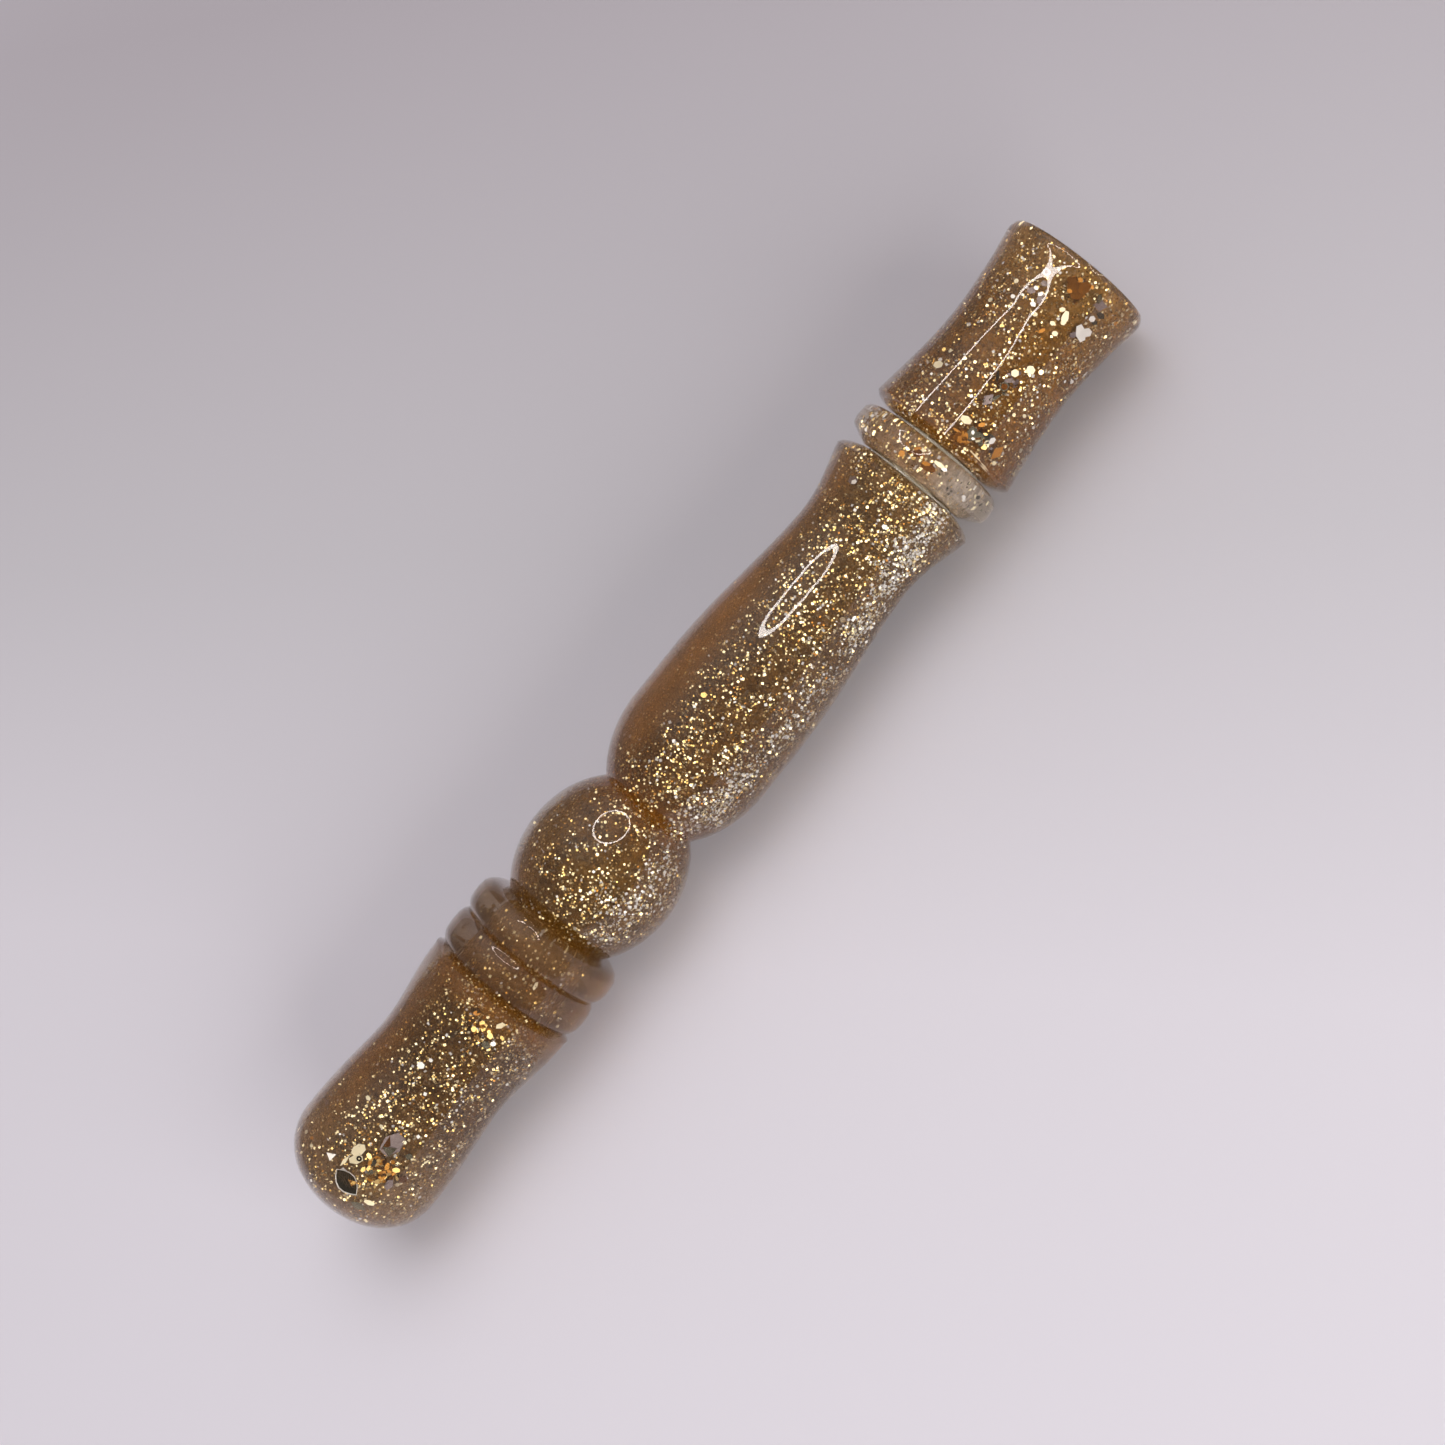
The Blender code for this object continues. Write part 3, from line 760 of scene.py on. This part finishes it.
def lay_flakes(name, part, groups, materials):
    """One object of many flat flakes, given as lists of spots by their number of corners.

    A spot is a centre, the way it faces, a spin, its half length and half width, and its foil."""
    gathered = bmesh.new()
    for corners, spots in groups.items():
        shape = bmesh.new()
        bmesh.ops.create_circle(shape, cap_ends=True, segments=corners, radius=1.0)
        template = bpy.data.meshes.new(name + "_cut")
        shape.to_mesh(template)
        shape.free()
        corners_at = [v.co.copy() for v in template.vertices]
        if corners == MARQUISE:
            for corner in corners_at:
                corner.y *= abs(corner.y)
        for centre, facing, spin, (length, width), kind in spots:
            turn = facing.to_track_quat("Z", "X").to_matrix() @ Matrix.Rotation(spin, 3, "Z")
            turn = turn @ Matrix.Diagonal((length, width, 1.0))
            for vertex, corner in zip(template.vertices, corners_at):
                vertex.co = centre + turn @ corner
            template.polygons[0].material_index = kind
            gathered.from_mesh(template)
        bpy.data.meshes.remove(template)
    resin_piece(gathered, name, part, materials, smooth=False)


def outward(turn):
    """The direction away from the axis at a turn round it; 0 faces the camera's side."""
    return FRONT * math.cos(turn) + BELOW * math.sin(turn)


def leaning(rng, out, spread):
    """The way a flake faces: outwards, but leaning at random."""
    return (out + Vector([rng.gauss(0, spread) for _ in range(3)])).normalized()


def on_axis(x):
    """The point of the call's axis at an x."""
    return Vector((x, 0, AXIS_Z))


def hump(degrees, middle, reach):
    """A smooth hump over the turns round a middle one, 1 at its top."""
    return math.exp(-(((degrees - middle) / reach) ** 2))


# How crowded the fine glitter is, by place along the call in millimetres.
CROWDING = [(-90, 0.2), (-85, 0.6), (-70, 0.8), (-50, 0.8), (-47, 0.5), (-40, 0.35), (-36, 0.2)]
CROWDING += [(-32, 0.62), (-14, 0.62), (-8, 0.85), (90, 1.0)]
# The bare high side of the barrel: where it ends, where it turns barer, its middle turn and its
# reach in degrees, and the shares of the glitter that it lacks towards the bell and the mouth.
BARE_TO, BARER_FROM, BARE_TURN, BARE_REACH, BARER, BARE = 40 * MM, -12 * MM, -68, 34, 0.8, 0.6
# The band of crowded silver and champagne flakes on ball and belly along the low side: real
# glitter, crowded and whitened there as painted light for the brightness that light from below
# gives it. Its ends, then its turn and its reach in degrees, and its force, by place along the
# call in millimetres.
PAINTED_BAND_FROM, PAINTED_BAND_TO = -34 * MM, 49.5 * MM
PAINTED_BAND_TURN = [(-34, 48), (-12, 52), (-4, 50), (4, 56), (12, 60), (22, 60), (32, 52), (40, 44), (49, 40)]
PAINTED_BAND_REACH = [(-34, 26), (-20, 20), (-6, 22), (4, 13), (24, 11), (34, 15), (49, 18)]
PAINTED_BAND_FORCE = [(-34, 0.8), (-14, 0.8), (-4, 1.0), (4, 0.75), (12, 0.6), (22, 0.85), (30, 1.4)]
PAINTED_BAND_FORCE += [(42, 1.35), (49, 1.1)]
BEADS_FROM, BEADS_TO = -49 * MM, -34.9 * MM
# How far out from the heart the fine glitter may lie: elsewhere, in the ring, and in the beads
FINE_DEPTH, RING_DEPTH, BEADS_DEPTH = 0.5 * MM, 3 * MM, 6 * MM
RING_CLEAR = 1.7 * MM  # the clear part of the ring next to the barrel


def fine_spots(part, count, seed):
    """Places for the fine glitter: clumped, at mixed depths, each at its own angle."""
    rng = random.Random(seed)
    spots = []
    while len(spots) < count:
        x = rng.uniform(part.start + 0.7 * MM, part.end - 0.7 * MM)
        turn = rng.uniform(-math.pi, math.pi)
        degrees = math.degrees(turn)
        side = 0
        # Painted light: in the band along the low side the flakes crowd and turn whiter
        if PAINTED_BAND_FROM < x < PAINTED_BAND_TO:
            side = track(PAINTED_BAND_FORCE, x) * hump(degrees, track(PAINTED_BAND_TURN, x), track(PAINTED_BAND_REACH, x))
        crowd = track(CROWDING, x)
        if x < BARE_TO:
            lacking = BARER if x > BARER_FROM else BARE
            crowd *= 1 - lacking * hump(degrees, BARE_TURN, BARE_REACH)
        deep = FINE_DEPTH
        if part is RING:
            deep = RING_DEPTH
            left_out = 0.85 / (1 + math.exp(-(degrees - 4) / 5))
            if x < part.start + RING_CLEAR or rng.random() < left_out:
                continue
        elif BEADS_FROM < x < BEADS_TO:
            deep = BEADS_DEPTH
        out = outward(turn)
        top = part.read(part.inset(0.55 * MM), x)
        low = min(track(HEART, x) * MM, top - 0.2 * MM)
        room = min(top - low, deep)
        spot = on_axis(x) + out * (low + room * rng.random())
        coarse, fine, wide = (noise.noise(spot * per_metre(size)) for size in (3.4, 1.3, 4.5))
        clump = 0.62 + 0.9 * coarse + 0.6 * fine
        painted_band = 0.7 * side * (0.85 + 0.9 * wide)
        if clump * crowd + painted_band < rng.random() * 1.25:
            continue
        facing = leaning(rng, out, 0.42)
        pick = rng.random()
        # In the painted light band more of them are silver and champagne
        if pick < 0.05 + 0.38 * side:
            kind = SILVER
        elif pick < 0.5 + 0.47 * side:
            kind = CHAMPAGNE
        else:
            kind = GOLD if pick < 0.85 + 0.1 * side else BRONZE
        if part is RING and degrees > 12:
            kind = rng.choice([SILVER, PEARL, SMOKE])
        radius = rng.uniform(*FLAKE_SIZES[min(kind, SILVER)]) * MM
        spots.append((spot, facing, rng.uniform(0, math.tau), (radius, radius), kind))
    return spots


def hex_spots(part, count, seed):
    """Places for the larger six-sided flakes, nearly flat to the surface."""
    rng = random.Random(seed)
    spots = []
    for _ in range(count):
        x = rng.uniform(part.start + 2 * MM, part.end - 2 * MM)
        out = outward(rng.uniform(-math.pi, math.pi))
        low = min(track(HEART, x) * MM, part.read(part.inset(1.4 * MM), x))
        centre = on_axis(x) + out * (low + 0.55 * MM)
        facing = leaning(rng, out, 0.2)
        radius = rng.uniform(0.28, 0.5) * MM
        kind = rng.choice([PEARL, CHAMPAGNE, CHAMPAGNE, GOLD])
        spots.append((centre, facing, rng.uniform(0, 1), (radius, radius), kind))
    return spots


# The chunky inclusions: x in mm, turn in degrees, half length and half width in mm,
# spin in degrees, corners, depth under the surface in mm, foil.
BARREL_CHUNKS = [
    (-83.9, -1, 2.45, 1.55, -14, MARQUISE, 0.7, SILVER),
    (-83.85, -1, 2.28, 1.38, -14, MARQUISE, 0.64, SMOKE),
    (-83.3, 3, 0.95, 0.55, 20, 3, 0.6, BRONZE),
    (-83.2, 3.5, 0.5, 0.3, 60, 4, 0.56, GOLD),
    (-83.0, -7, 0.8, 0.5, -20, 6, 1.08, SILVER),
    (-82.9, -6.5, 0.5, 0.28, -20, 6, 1.03, SMOKE),
    (-84.5, 4, 0.5, 0.12, 40, 4, 1.03, PEARL),
    (-79.0, -9, 1.25, 0.85, 70, 7, 1.05, PEARL),
    (-80.3, -6, 1.2, 0.7, 50, 6, 1.02, PEARL),
    (-79.9, -4.5, 0.45, 0.42, 0, 8, 0.95, SMOKE),
    (-79.9, -4.5, 0.14, 0.14, 0, 6, 0.9, PEARL),
    (-81.6, -12, 1.05, 0.3, 86, 4, 1.0, PEARL),
    (-82.5, -23, 0.95, 0.75, 30, 3, 1.0, SILVER),
    (-75.2, 8.5, 2.2, 1.5, 80, 6, 1.15, LILAC),
    (-75.6, 5, 1.5, 0.6, 95, 3, 1.07, AMBER),
    (-76.2, 9.5, 1.3, 0.95, 30, 3, 1.0, SMOKE),
    (-80.5, 26, 1.0, 0.65, 100, 5, 1.1, LILAC),
    (-75.3, 25, 0.6, 0.55, 0, 7, 1.1, SMOKE),
    (-75.4, 28, 0.2, 0.2, 0, 5, 1.0, PEARL),
    (-84.5, 24, 0.95, 0.4, 10, 6, 1.1, PEARL),
    (-86.0, 20, 1.3, 0.55, 5, MARQUISE, 1.1, SMOKE),
    (-78.7, 33, 0.8, 0.6, 0, 6, 1.2, AMBER),
    (-84.2, -72, 0.5, 0.3, 90, 5, 0.9, PEARL),
    (-83.1, -57, 0.42, 0.34, 0, 6, 0.9, PEARL),
    (-82.9, -47, 0.42, 0.3, 30, 5, 0.9, HONEY),
    (-83.7, -43, 0.36, 0.3, 0, 6, 0.9, PEARL),
    (-72.4, -30, 0.55, 0.36, 0, 5, 1.0, PEARL),
    (-77.8, -60, 0.6, 0.45, 0, 5, 1.0, LILAC),
    (-74.1, -7, 0.32, 0.26, 0, 6, 1.0, PEARL),
    (-73.9, 15, 0.34, 0.3, 0, 6, 1.0, PEARL),
    (-74.7, 40, 0.5, 0.22, 70, 5, 1.0, PEARL),
    (-63.5, -14, 0.65, 0.55, 20, 6, 1.3, SILVER),
    (-61.9, -10, 0.35, 0.3, 10, 6, 1.3, SILVER),
    (-54.8, 17, 0.75, 0.6, 0, 6, 1.4, SMOKE),
    (-54.0, 21, 0.45, 0.4, 30, 6, 1.4, SILVER),
    (-51.1, 16, 0.8, 0.45, 60, 5, 1.4, PEARL),
    (-51.6, -6, 0.9, 0.5, 35, 5, 1.5, SMOKE),
    (-43.3, 18, 0.7, 0.3, 100, 5, 1.5, PEARL),
    (44.5, -40, 0.9, 0.7, 20, 6, 1.3, LILAC),
    (44.4, -38, 0.5, 0.4, 50, 5, 1.2, SILVER),
    (42.0, 8, 0.5, 0.4, 0, 6, 1.4, SILVER),
]
BELL_CHUNKS = [
    (86.1, 6, 1.35, 1.0, 20, 7, 0.8, AMBER),
    (86.9, 11, 1.2, 0.9, 80, 6, 0.76, AMBER),
    (85.5, 10, 1.05, 0.8, 50, 7, 0.72, AMBER),
    (86.5, 1, 0.95, 0.7, 10, 6, 0.72, AMBER),
    (87.4, 5, 0.45, 0.35, 0, 5, 0.62, HONEY),
    (85.2, 4, 0.42, 0.35, 30, 6, 0.62, HONEY),
    (87.7, 15, 0.45, 0.3, 0, 6, 1.1, HONEY),
    (60.3, 14, 1.25, 0.8, 100, 6, 1.25, SMOKE),
    (61.3, 27, 1.25, 0.8, 40, 7, 1.25, SMOKE),
    (60.8, 20, 1.0, 0.6, 20, 5, 1.2, SMOKE),
    (60.6, 14, 0.35, 0.25, 130, 5, 1.1, SILVER),
    (59.9, 17, 0.3, 0.2, 20, 5, 1.1, SILVER),
    (61.6, 23, 0.4, 0.2, 20, 4, 1.1, GOLD),
    (61.5, 31, 0.65, 0.45, 75, 6, 1.1, SILVER),
    (61.4, 4, 0.95, 0.62, 10, 6, 1.0, PEARL),
    (62.3, 16, 0.6, 0.35, 50, 6, 1.05, HONEY),
    (60.7, 42, 1.4, 0.85, 80, 4, 1.3, HONEY),
    (59.2, 44, 0.4, 0.35, 0, 6, 1.0, PEARL),
    (58.2, 26, 1.5, 0.14, -6, 4, 0.9, PEARL),
    (57.9, 38, 1.2, 0.16, -6, 4, 0.9, PEARL),
    (65.7, 8, 1.15, 0.75, 85, 4, 1.2, LILAC),
    (65.9, 9, 0.18, 0.14, 0, 6, 1.1, SMOKE),
    (65.2, 6, 0.16, 0.14, 0, 6, 1.1, SMOKE),
    (66.6, 12, 0.9, 0.25, 70, 8, 1.15, SMOKE),
    (68.7, 12, 0.7, 0.7, 0, 9, 1.2, SMOKE),
    (68.7, 12, 0.5, 0.5, 0, 9, 1.15, AMBER),
    (69.3, 2, 0.9, 0.25, 120, 8, 1.2, SMOKE),
    (86.6, 31, 1.2, 0.85, 30, 4, 1.25, LILAC),
    (87.2, 26, 0.8, 0.45, 120, 5, 1.15, SMOKE),
    (85.6, 37, 0.9, 0.5, 10, 5, 1.15, SMOKE),
    (84.4, 33, 0.55, 0.5, 20, 6, 1.0, SILVER),
    (84.3, 37, 0.55, 0.4, 20, 6, 1.0, SMOKE),
    (81.8, 34, 1.5, 0.85, 150, 6, 0.95, SILVER),
    (82.5, 38, 0.9, 0.7, 20, 6, 0.92, SILVER),
    (80.9, 30, 0.7, 0.5, 50, 5, 1.0, LILAC),
    (81.9, 15, 1.2, 0.55, 110, 6, 1.0, PEARL),
    (82.6, 9, 0.5, 0.35, 40, 6, 1.0, PEARL),
    (80.2, 10, 0.45, 0.35, 20, 6, 1.0, PEARL),
    (78.4, 7, 0.6, 0.3, 60, 6, 1.0, HONEY),
    (79.3, 17, 0.5, 0.4, 20, 6, 1.0, PEARL),
    (82.0, -20, 0.7, 0.5, 30, 6, 1.0, LILAC),
    (82.7, -18, 0.4, 0.3, 0, 6, 0.95, SILVER),
    (81.8, -10, 0.8, 0.5, 110, 6, 1.0, LILAC),
    (82.4, -12, 0.5, 0.3, 60, 5, 0.95, SILVER),
    (83.9, -15, 0.55, 0.45, 0, 6, 1.0, LILAC),
    (85.4, -19, 0.6, 0.55, 0, 8, 1.0, SILVER),
    (85.4, -19, 0.4, 0.35, 0, 8, 0.95, LILAC),
    (80.6, -12, 0.5, 0.4, 0, 5, 0.95, SILVER),
    (79.6, -6, 0.5, 0.35, 20, 6, 1.0, PEARL),
    (65.4, -45, 0.9, 0.66, 20, 6, 1.0, PEARL),
    (66.2, -47, 0.4, 0.35, 0, 6, 0.95, SILVER),
    (73.0, 21, 0.75, 0.7, 10, 6, 1.0, PEARL),
    (71.2, 12, 0.62, 0.6, 40, 6, 1.0, PEARL),
    (77.6, -47, 0.42, 0.4, 0, 6, 1.0, PEARL),
    (81.9, -36, 0.42, 0.4, 0, 6, 1.0, PEARL),
    (79.8, -30, 0.4, 0.34, 0, 6, 1.0, SILVER),
    (72.9, -50, 0.5, 0.3, 0, 6, 1.0, SILVER),
    (63.0, -73, 0.5, 0.3, 0, 6, 0.9, PEARL),
    (67.4, 43, 0.4, 0.3, 0, 6, 1.0, PEARL),
    (76.0, 66, 0.5, 0.35, 0, 6, 0.9, SILVER),
    (78.2, 76, 0.7, 0.3, 90, 6, 0.9, SILVER),
    (86.3, 53, 0.36, 0.34, 0, 6, 0.9, HONEY),
    (88.6, 72, 0.42, 0.36, 0, 6, 0.9, PEARL),
]
RING_CHUNKS = [
    (51.9, -18, 0.5, 0.45, 0, 6, 0.9, HONEY),
    (52.6, 4, 1.2, 0.6, 10, 8, 1.1, AMBER),
    (52.8, 1, 0.7, 0.3, 20, 6, 1.0, HONEY),
    (53.1, -9, 1.0, 0.5, 30, 6, 1.1, AMBER),
    (53.9, 9, 1.0, 0.35, 5, 6, 0.9, PEARL),
    (53.8, 14, 0.5, 0.3, 20, 5, 0.9, SILVER),
    (53.9, 52, 0.5, 0.35, 20, 6, 0.9, SMOKE),
    (53.4, 60, 0.5, 0.25, 50, 5, 0.9, SMOKE),
    (52.6, 40, 0.45, 0.3, 0, 5, 0.8, SILVER),
    (52.4, 56, 0.5, 0.35, 60, 4, 0.9, PEARL),
]

# Clumps of nuggets: x in mm, turn in degrees, their spread along in mm and round in degrees,
# how many, and their foils.
BARREL_CLUMPS = [
    (-79.6, 13, 1.9, 12, 110, (AMBER, HONEY, GOLD, GOLD, SMOKE, BRONZE)),
    (-53.0, 8, 2.2, 14, 24, (HONEY, AMBER, GOLD)),
]
BELL_CLUMPS = [
    (86.3, 8, 1.3, 9, 46, (AMBER, AMBER, AMBER, BRONZE, HONEY)),
    (58.8, 9, 0.8, 8, 30, (AMBER, HONEY, AMBER)),
    (61.0, 22, 1.2, 10, 30, (SMOKE, GOLD, AMBER, PEARL)),
    (70.0, 15, 1.6, 9, 16, (AMBER, LILAC, SMOKE)),
]
RING_CLUMPS = [(53.2, -10, 0.6, 9, 24, (HONEY, GOLD, PEARL, AMBER))]


def clump_spots(part, clumps, seed):
    """Places for the nuggets of each clump, grouped by how many corners they have."""
    rng = random.Random(seed)
    groups = {}
    for x, turn, along, around, count, kinds in clumps:
        for _ in range(count):
            place = (x + rng.gauss(0, along / 2)) * MM
            out = outward(math.radians(turn + rng.gauss(0, around / 2)))
            facing = leaning(rng, out, 0.25)
            depth = rng.uniform(0, 0.5) * MM
            centre = on_axis(place) + out * (part.read(part.inset(1.25 * MM), place) - depth)
            size = (rng.uniform(0.25, 0.75) * MM, rng.uniform(0.2, 0.5) * MM)
            spot = (centre, facing, rng.uniform(0, math.tau), size, rng.choice(kinds))
            groups.setdefault(rng.choice((5, 6, 7)), []).append(spot)
    return groups


def chunk_spots(part, chunks):
    """Places for the chunky inclusions, grouped by how many corners they have."""
    groups = {}
    for x, turn, length, width, spin, corners, depth, kind in chunks:
        out = outward(math.radians(turn))
        centre = on_axis(x * MM) + out * part.read(part.inset(depth * MM), x * MM)
        spot = (centre, out, math.radians(spin), (length * MM, width * MM), kind)
        groups.setdefault(corners, []).append(spot)
    return groups


# ---------------- stage and light


LAMP_FOCUS = Vector((-0.0248, 0, AXIS_Z))  # the point on the call that the lamp stands over
LAMP_REACH = 0.21  # how far off it stands
LAMP_RISE = math.radians(44.5)  # how far above the camera it stands, and how far to the right
LAMP_SWING = math.radians(4)
LAMP_RADIUS = 0.078
LAMP_TUBE = 0.003
# Where the flakes inside the resin find light to flash: a direction, the cosines at which the
# patch of light starts and is full, and its strength.
SPARKLE_LIGHTS = [
    ((UP * 0.62 - VIEW * 0.78).normalized(), 0.86, 0.93, 3.4),
    ((LOW * 0.85 - VIEW * 0.35 + Vector((0, 0, 0.45))).normalized(), 0.8, 0.92, 4.2),
    ((-LOW * 0.55 - VIEW * 0.8).normalized(), 0.91, 0.965, 3.4),
    (Vector((-0.15, 0.5, 0.85)).normalized(), 0.9, 0.96, 2.2),
]
DIM_FLASH = 0.18  # their strength outside all patches
GLOW_SIDE = (UP * 0.9 - VIEW * 0.62 - RIGHT * 0.2 + Vector((0, 0, 0.2))).normalized()
SOFT_BOX_SIDE = (UP * 0.75 - VIEW * 0.45 - RIGHT * 0.35 + Vector((0, 0, 0.55))).normalized()
SIDE_CARD_SIDE = (LOW * 0.72 - VIEW * 0.62 + Vector((0, 0, 0.28))).normalized()


def turned_to(direction):
    """The matrix that turns a lamp's back to a direction."""
    return direction.to_track_quat("Z", "Y").to_matrix().to_4x4()


def make_paper():
    """The sweep of paper under the call."""
    sheet = bmesh.new()
    bmesh.ops.create_grid(sheet, x_segments=8, y_segments=8, size=3.0)
    floor = keep(sheet, "paper_sweep", paper())


def make_ring_lamp():
    """The ring lamp beside the eye, which only the polish shows."""
    towards_eye = (CAMERA_PLACE - LAMP_FOCUS).normalized()
    towards_lamp = towards_eye * math.cos(LAMP_RISE) + UP * math.sin(LAMP_RISE)
    towards_lamp = towards_lamp.normalized() * math.cos(LAMP_SWING) + RIGHT * math.sin(LAMP_SWING)
    lamp_place = LAMP_FOCUS + towards_lamp.normalized() * LAMP_REACH
    facing = (lamp_place - AIM).normalized()
    ring = bmesh.new()
    bmesh.ops.create_circle(ring, segments=10, radius=LAMP_TUBE)
    upright = Matrix.Rotation(math.pi / 2, 3, "X")
    bmesh.ops.rotate(ring, verts=ring.verts, cent=(0, 0, 0), matrix=upright)
    bmesh.ops.translate(ring, verts=ring.verts, vec=(LAMP_RADIUS, 0, 0))
    spin_round(ring, (0, 0, 0), (0, 0, 1), 64, 1e-5)
    bmesh.ops.transform(ring, verts=ring.verts, matrix=turned_to(facing))
    bmesh.ops.translate(ring, verts=ring.verts, vec=lamp_place)
    lamp = keep(ring, "ring_lamp", lamp_glow())
    lamp.visible_camera = False
    lamp.visible_diffuse = False
    lamp.visible_transmission = False
    lamp.visible_shadow = False


def hang_lamp(name, size, energy, tint, away, distance):
    """A soft square-cornered lamp aimed at the call, kept out of sight and of reflections."""
    data = bpy.data.lights.new(name, "AREA")
    data.shape = "RECTANGLE"
    data.size, data.size_y = size
    data.energy = energy
    data.color = tint
    lamp = bpy.data.objects.new(name, data)
    lamp.matrix_world = Matrix.Translation(AIM + away * distance) @ turned_to(away)
    lamp.visible_camera = False
    lamp.visible_glossy = False
    lamp.visible_transmission = False
    bpy.context.scene.collection.objects.link(lamp)


def make_room():
    """The pale surroundings, and the light that the flakes inside the resin flash with."""
    world = bpy.data.worlds.new("pale_room")
    world.use_nodes = True
    tree = world.node_tree
    tree.nodes.clear()
    light = add(tree, "LightPath")
    sky = (add(tree, "TexCoord"), "Generated")
    looks = {0: sky, 1: tuple(GLOW_SIDE)}
    towards = add(tree, "VectorMath", looks, operation="DOT_PRODUCT")
    glow = {"Value": (towards, "Value"), "From Min": 0.6, "To Min": 0.3, "To Max": 0.75}
    soft = add(tree, "MapRange", glow, interpolation_type="SMOOTHSTEP")
    sparkle = None
    for direction, start, stop, strength in SPARKLE_LIGHTS:
        looks = {0: sky, 1: tuple(direction)}
        near = add(tree, "VectorMath", looks, operation="DOT_PRODUCT")
        patch = {"Value": (near, "Value"), "From Min": start, "From Max": stop}
        patch.update({"To Min": DIM_FLASH, "To Max": strength})
        spot = add(tree, "MapRange", patch, interpolation_type="SMOOTHSTEP")
        if sparkle:
            spot = add(tree, "Math", {0: sparkle, 1: spot}, operation="MAXIMUM")
        sparkle = spot
    lit = add(tree, "Background", {"Color": colour("#F6F2F6"), "Strength": soft})
    strong = add(tree, "MapRange", {"Value": sparkle, "From Min": 0.2, "From Max": 1.6})
    tints = {0: strong, 6: colour("#DCA868"), 7: colour("#FFFBF4")}
    tint = add(tree, "Mix", tints, data_type="RGBA")
    flashed = add(tree, "Background", {"Color": (tint, "Result"), "Strength": sparkle})
    shown = add(tree, "Background", {"Color": colour(ROOM_TONE)})
    mirrored = add(tree, "Math", {0: (light, "Glossy Depth"), 1: 0.5}, operation="GREATER_THAN")
    through = add(tree, "MixShader", {0: mirrored, 1: shown, 2: flashed})
    inside = add(tree, "MixShader", {0: (light, "Is Transmission Ray"), 1: lit, 2: through})
    mix = add(tree, "MixShader", {0: (light, "Is Camera Ray"), 1: inside, 2: shown})
    add(tree, "OutputWorld", {"Surface": mix})
    bpy.context.scene.world = world


# ---------------- assembly


def main():
    """Sets the stage, builds the resin parts and their flakes, and finishes the inner pieces."""
    make_camera()
    make_paper()
    make_ring_lamp()
    hang_lamp("soft_box", (1.35, 1.35), 6.3, (1.0, 0.985, 0.97), SOFT_BOX_SIDE, 1.425)
    hang_lamp("side_card", (1.0, 0.56), 9.6, (1.0, 0.99, 0.97), SIDE_CARD_SIDE, 1.1)
    make_room()
    skin = clear_resin()
    # The second argument of cloudy_resin is a painted tone for the low side: paler, as painted
    # light from the paper, under barrel and ring; darker, as painted shade, under the bell
    haze = cloudy_resin("pearl_hazed_resin", "#A8763A", 0.0095, 0.0125, 0.6)
    packed = glitter_heart("packed_foil_glitter")
    foils = [
        foil("bronze_foil_flake", "#A87838", 0.24, 1.0),
        foil("gold_foil_flake", "#F2D08A", 0.2, 1.0),
        foil("champagne_foil_flake", "#FFF2CC", 0.2, 1.0),
        foil("silver_foil_flake", "#F6F8FF", 0.24, 0.35, wear=0.15),
        foil("smoke_foil_flake", "#2E2A1C", 0.12, 0.5),
        foil("amber_nugget", "#54300A", 0.4, 1.0),
        foil("honey_nugget", "#BE7E1C", 0.3, 0.3),
        foil("pearl_foil_flake", "#FFF8DC", 0.3, 0.2, wear=0.1),
        foil("lilac_film_chip", "#75686E", 0.2, 0.3),
    ]
    clearer = cloudy_resin("pearl_hazed_clear_resin", "#DDD2CC", 0.001, 0.006, 0.8)
    deeper = cloudy_resin("pearl_hazed_amber_resin", "#6E4410", 0.004, 0.0105, 0.75)
    hazes = {BARREL.node: haze, RING.node: clearer, BELL.node: deeper}
    # Its second argument, a pale grey, is painted light on the ring heart's low side, from the
    # paper below
    sparse = glitter_heart("thinly_glittered_clear_resin", "#B3A79E")
    for part in RESIN_PARTS:
        make_skin(part, skin)
        make_heart(part, sparse if part is RING else packed)
        for number, depth in enumerate(HAZE_DEPTHS, 1):
            make_haze(part, number, depth, hazes[part.node])
    # Each part, how many fine and six-sided flakes it has, its placed ones, and its seed
    for part, fine, hexes, chunks, clumps, seed in (
        (BARREL, 29000, 26, BARREL_CHUNKS, BARREL_CLUMPS, 11),
        (RING, 620, 0, RING_CHUNKS, RING_CLUMPS, 12),
        (BELL, 6800, 24, BELL_CHUNKS, BELL_CLUMPS, 13),
    ):
        squares = {4: fine_spots(part, fine, seed)}
        lay_flakes(part.node + "_fine_glitter", part, squares, foils)
        larger = chunk_spots(part, chunks)
        for corners, spots in clump_spots(part, clumps, seed + 20).items():
            larger.setdefault(corners, []).extend(spots)
        larger.setdefault(6, []).extend(hex_spots(part, hexes, seed + 10))
        lay_flakes(part.node + "_chunky_flakes", part, larger, foils)

    tube, film, block, rubber = clear_moulding(), frosted_film(), cork(), nitrile()
    for node, material in (
        ("tone_tube", tube),
        ("reed_lower", film),
        ("reed_upper", film),
        ("wedge", block),
        ("o_ring_front", rubber),
        ("o_ring_rear", rubber),
    ):
        NODES[node].data.materials.clear()
        NODES[node].data.materials.append(material)
    bpy.context.scene.view_settings.view_transform = "Standard"


main()
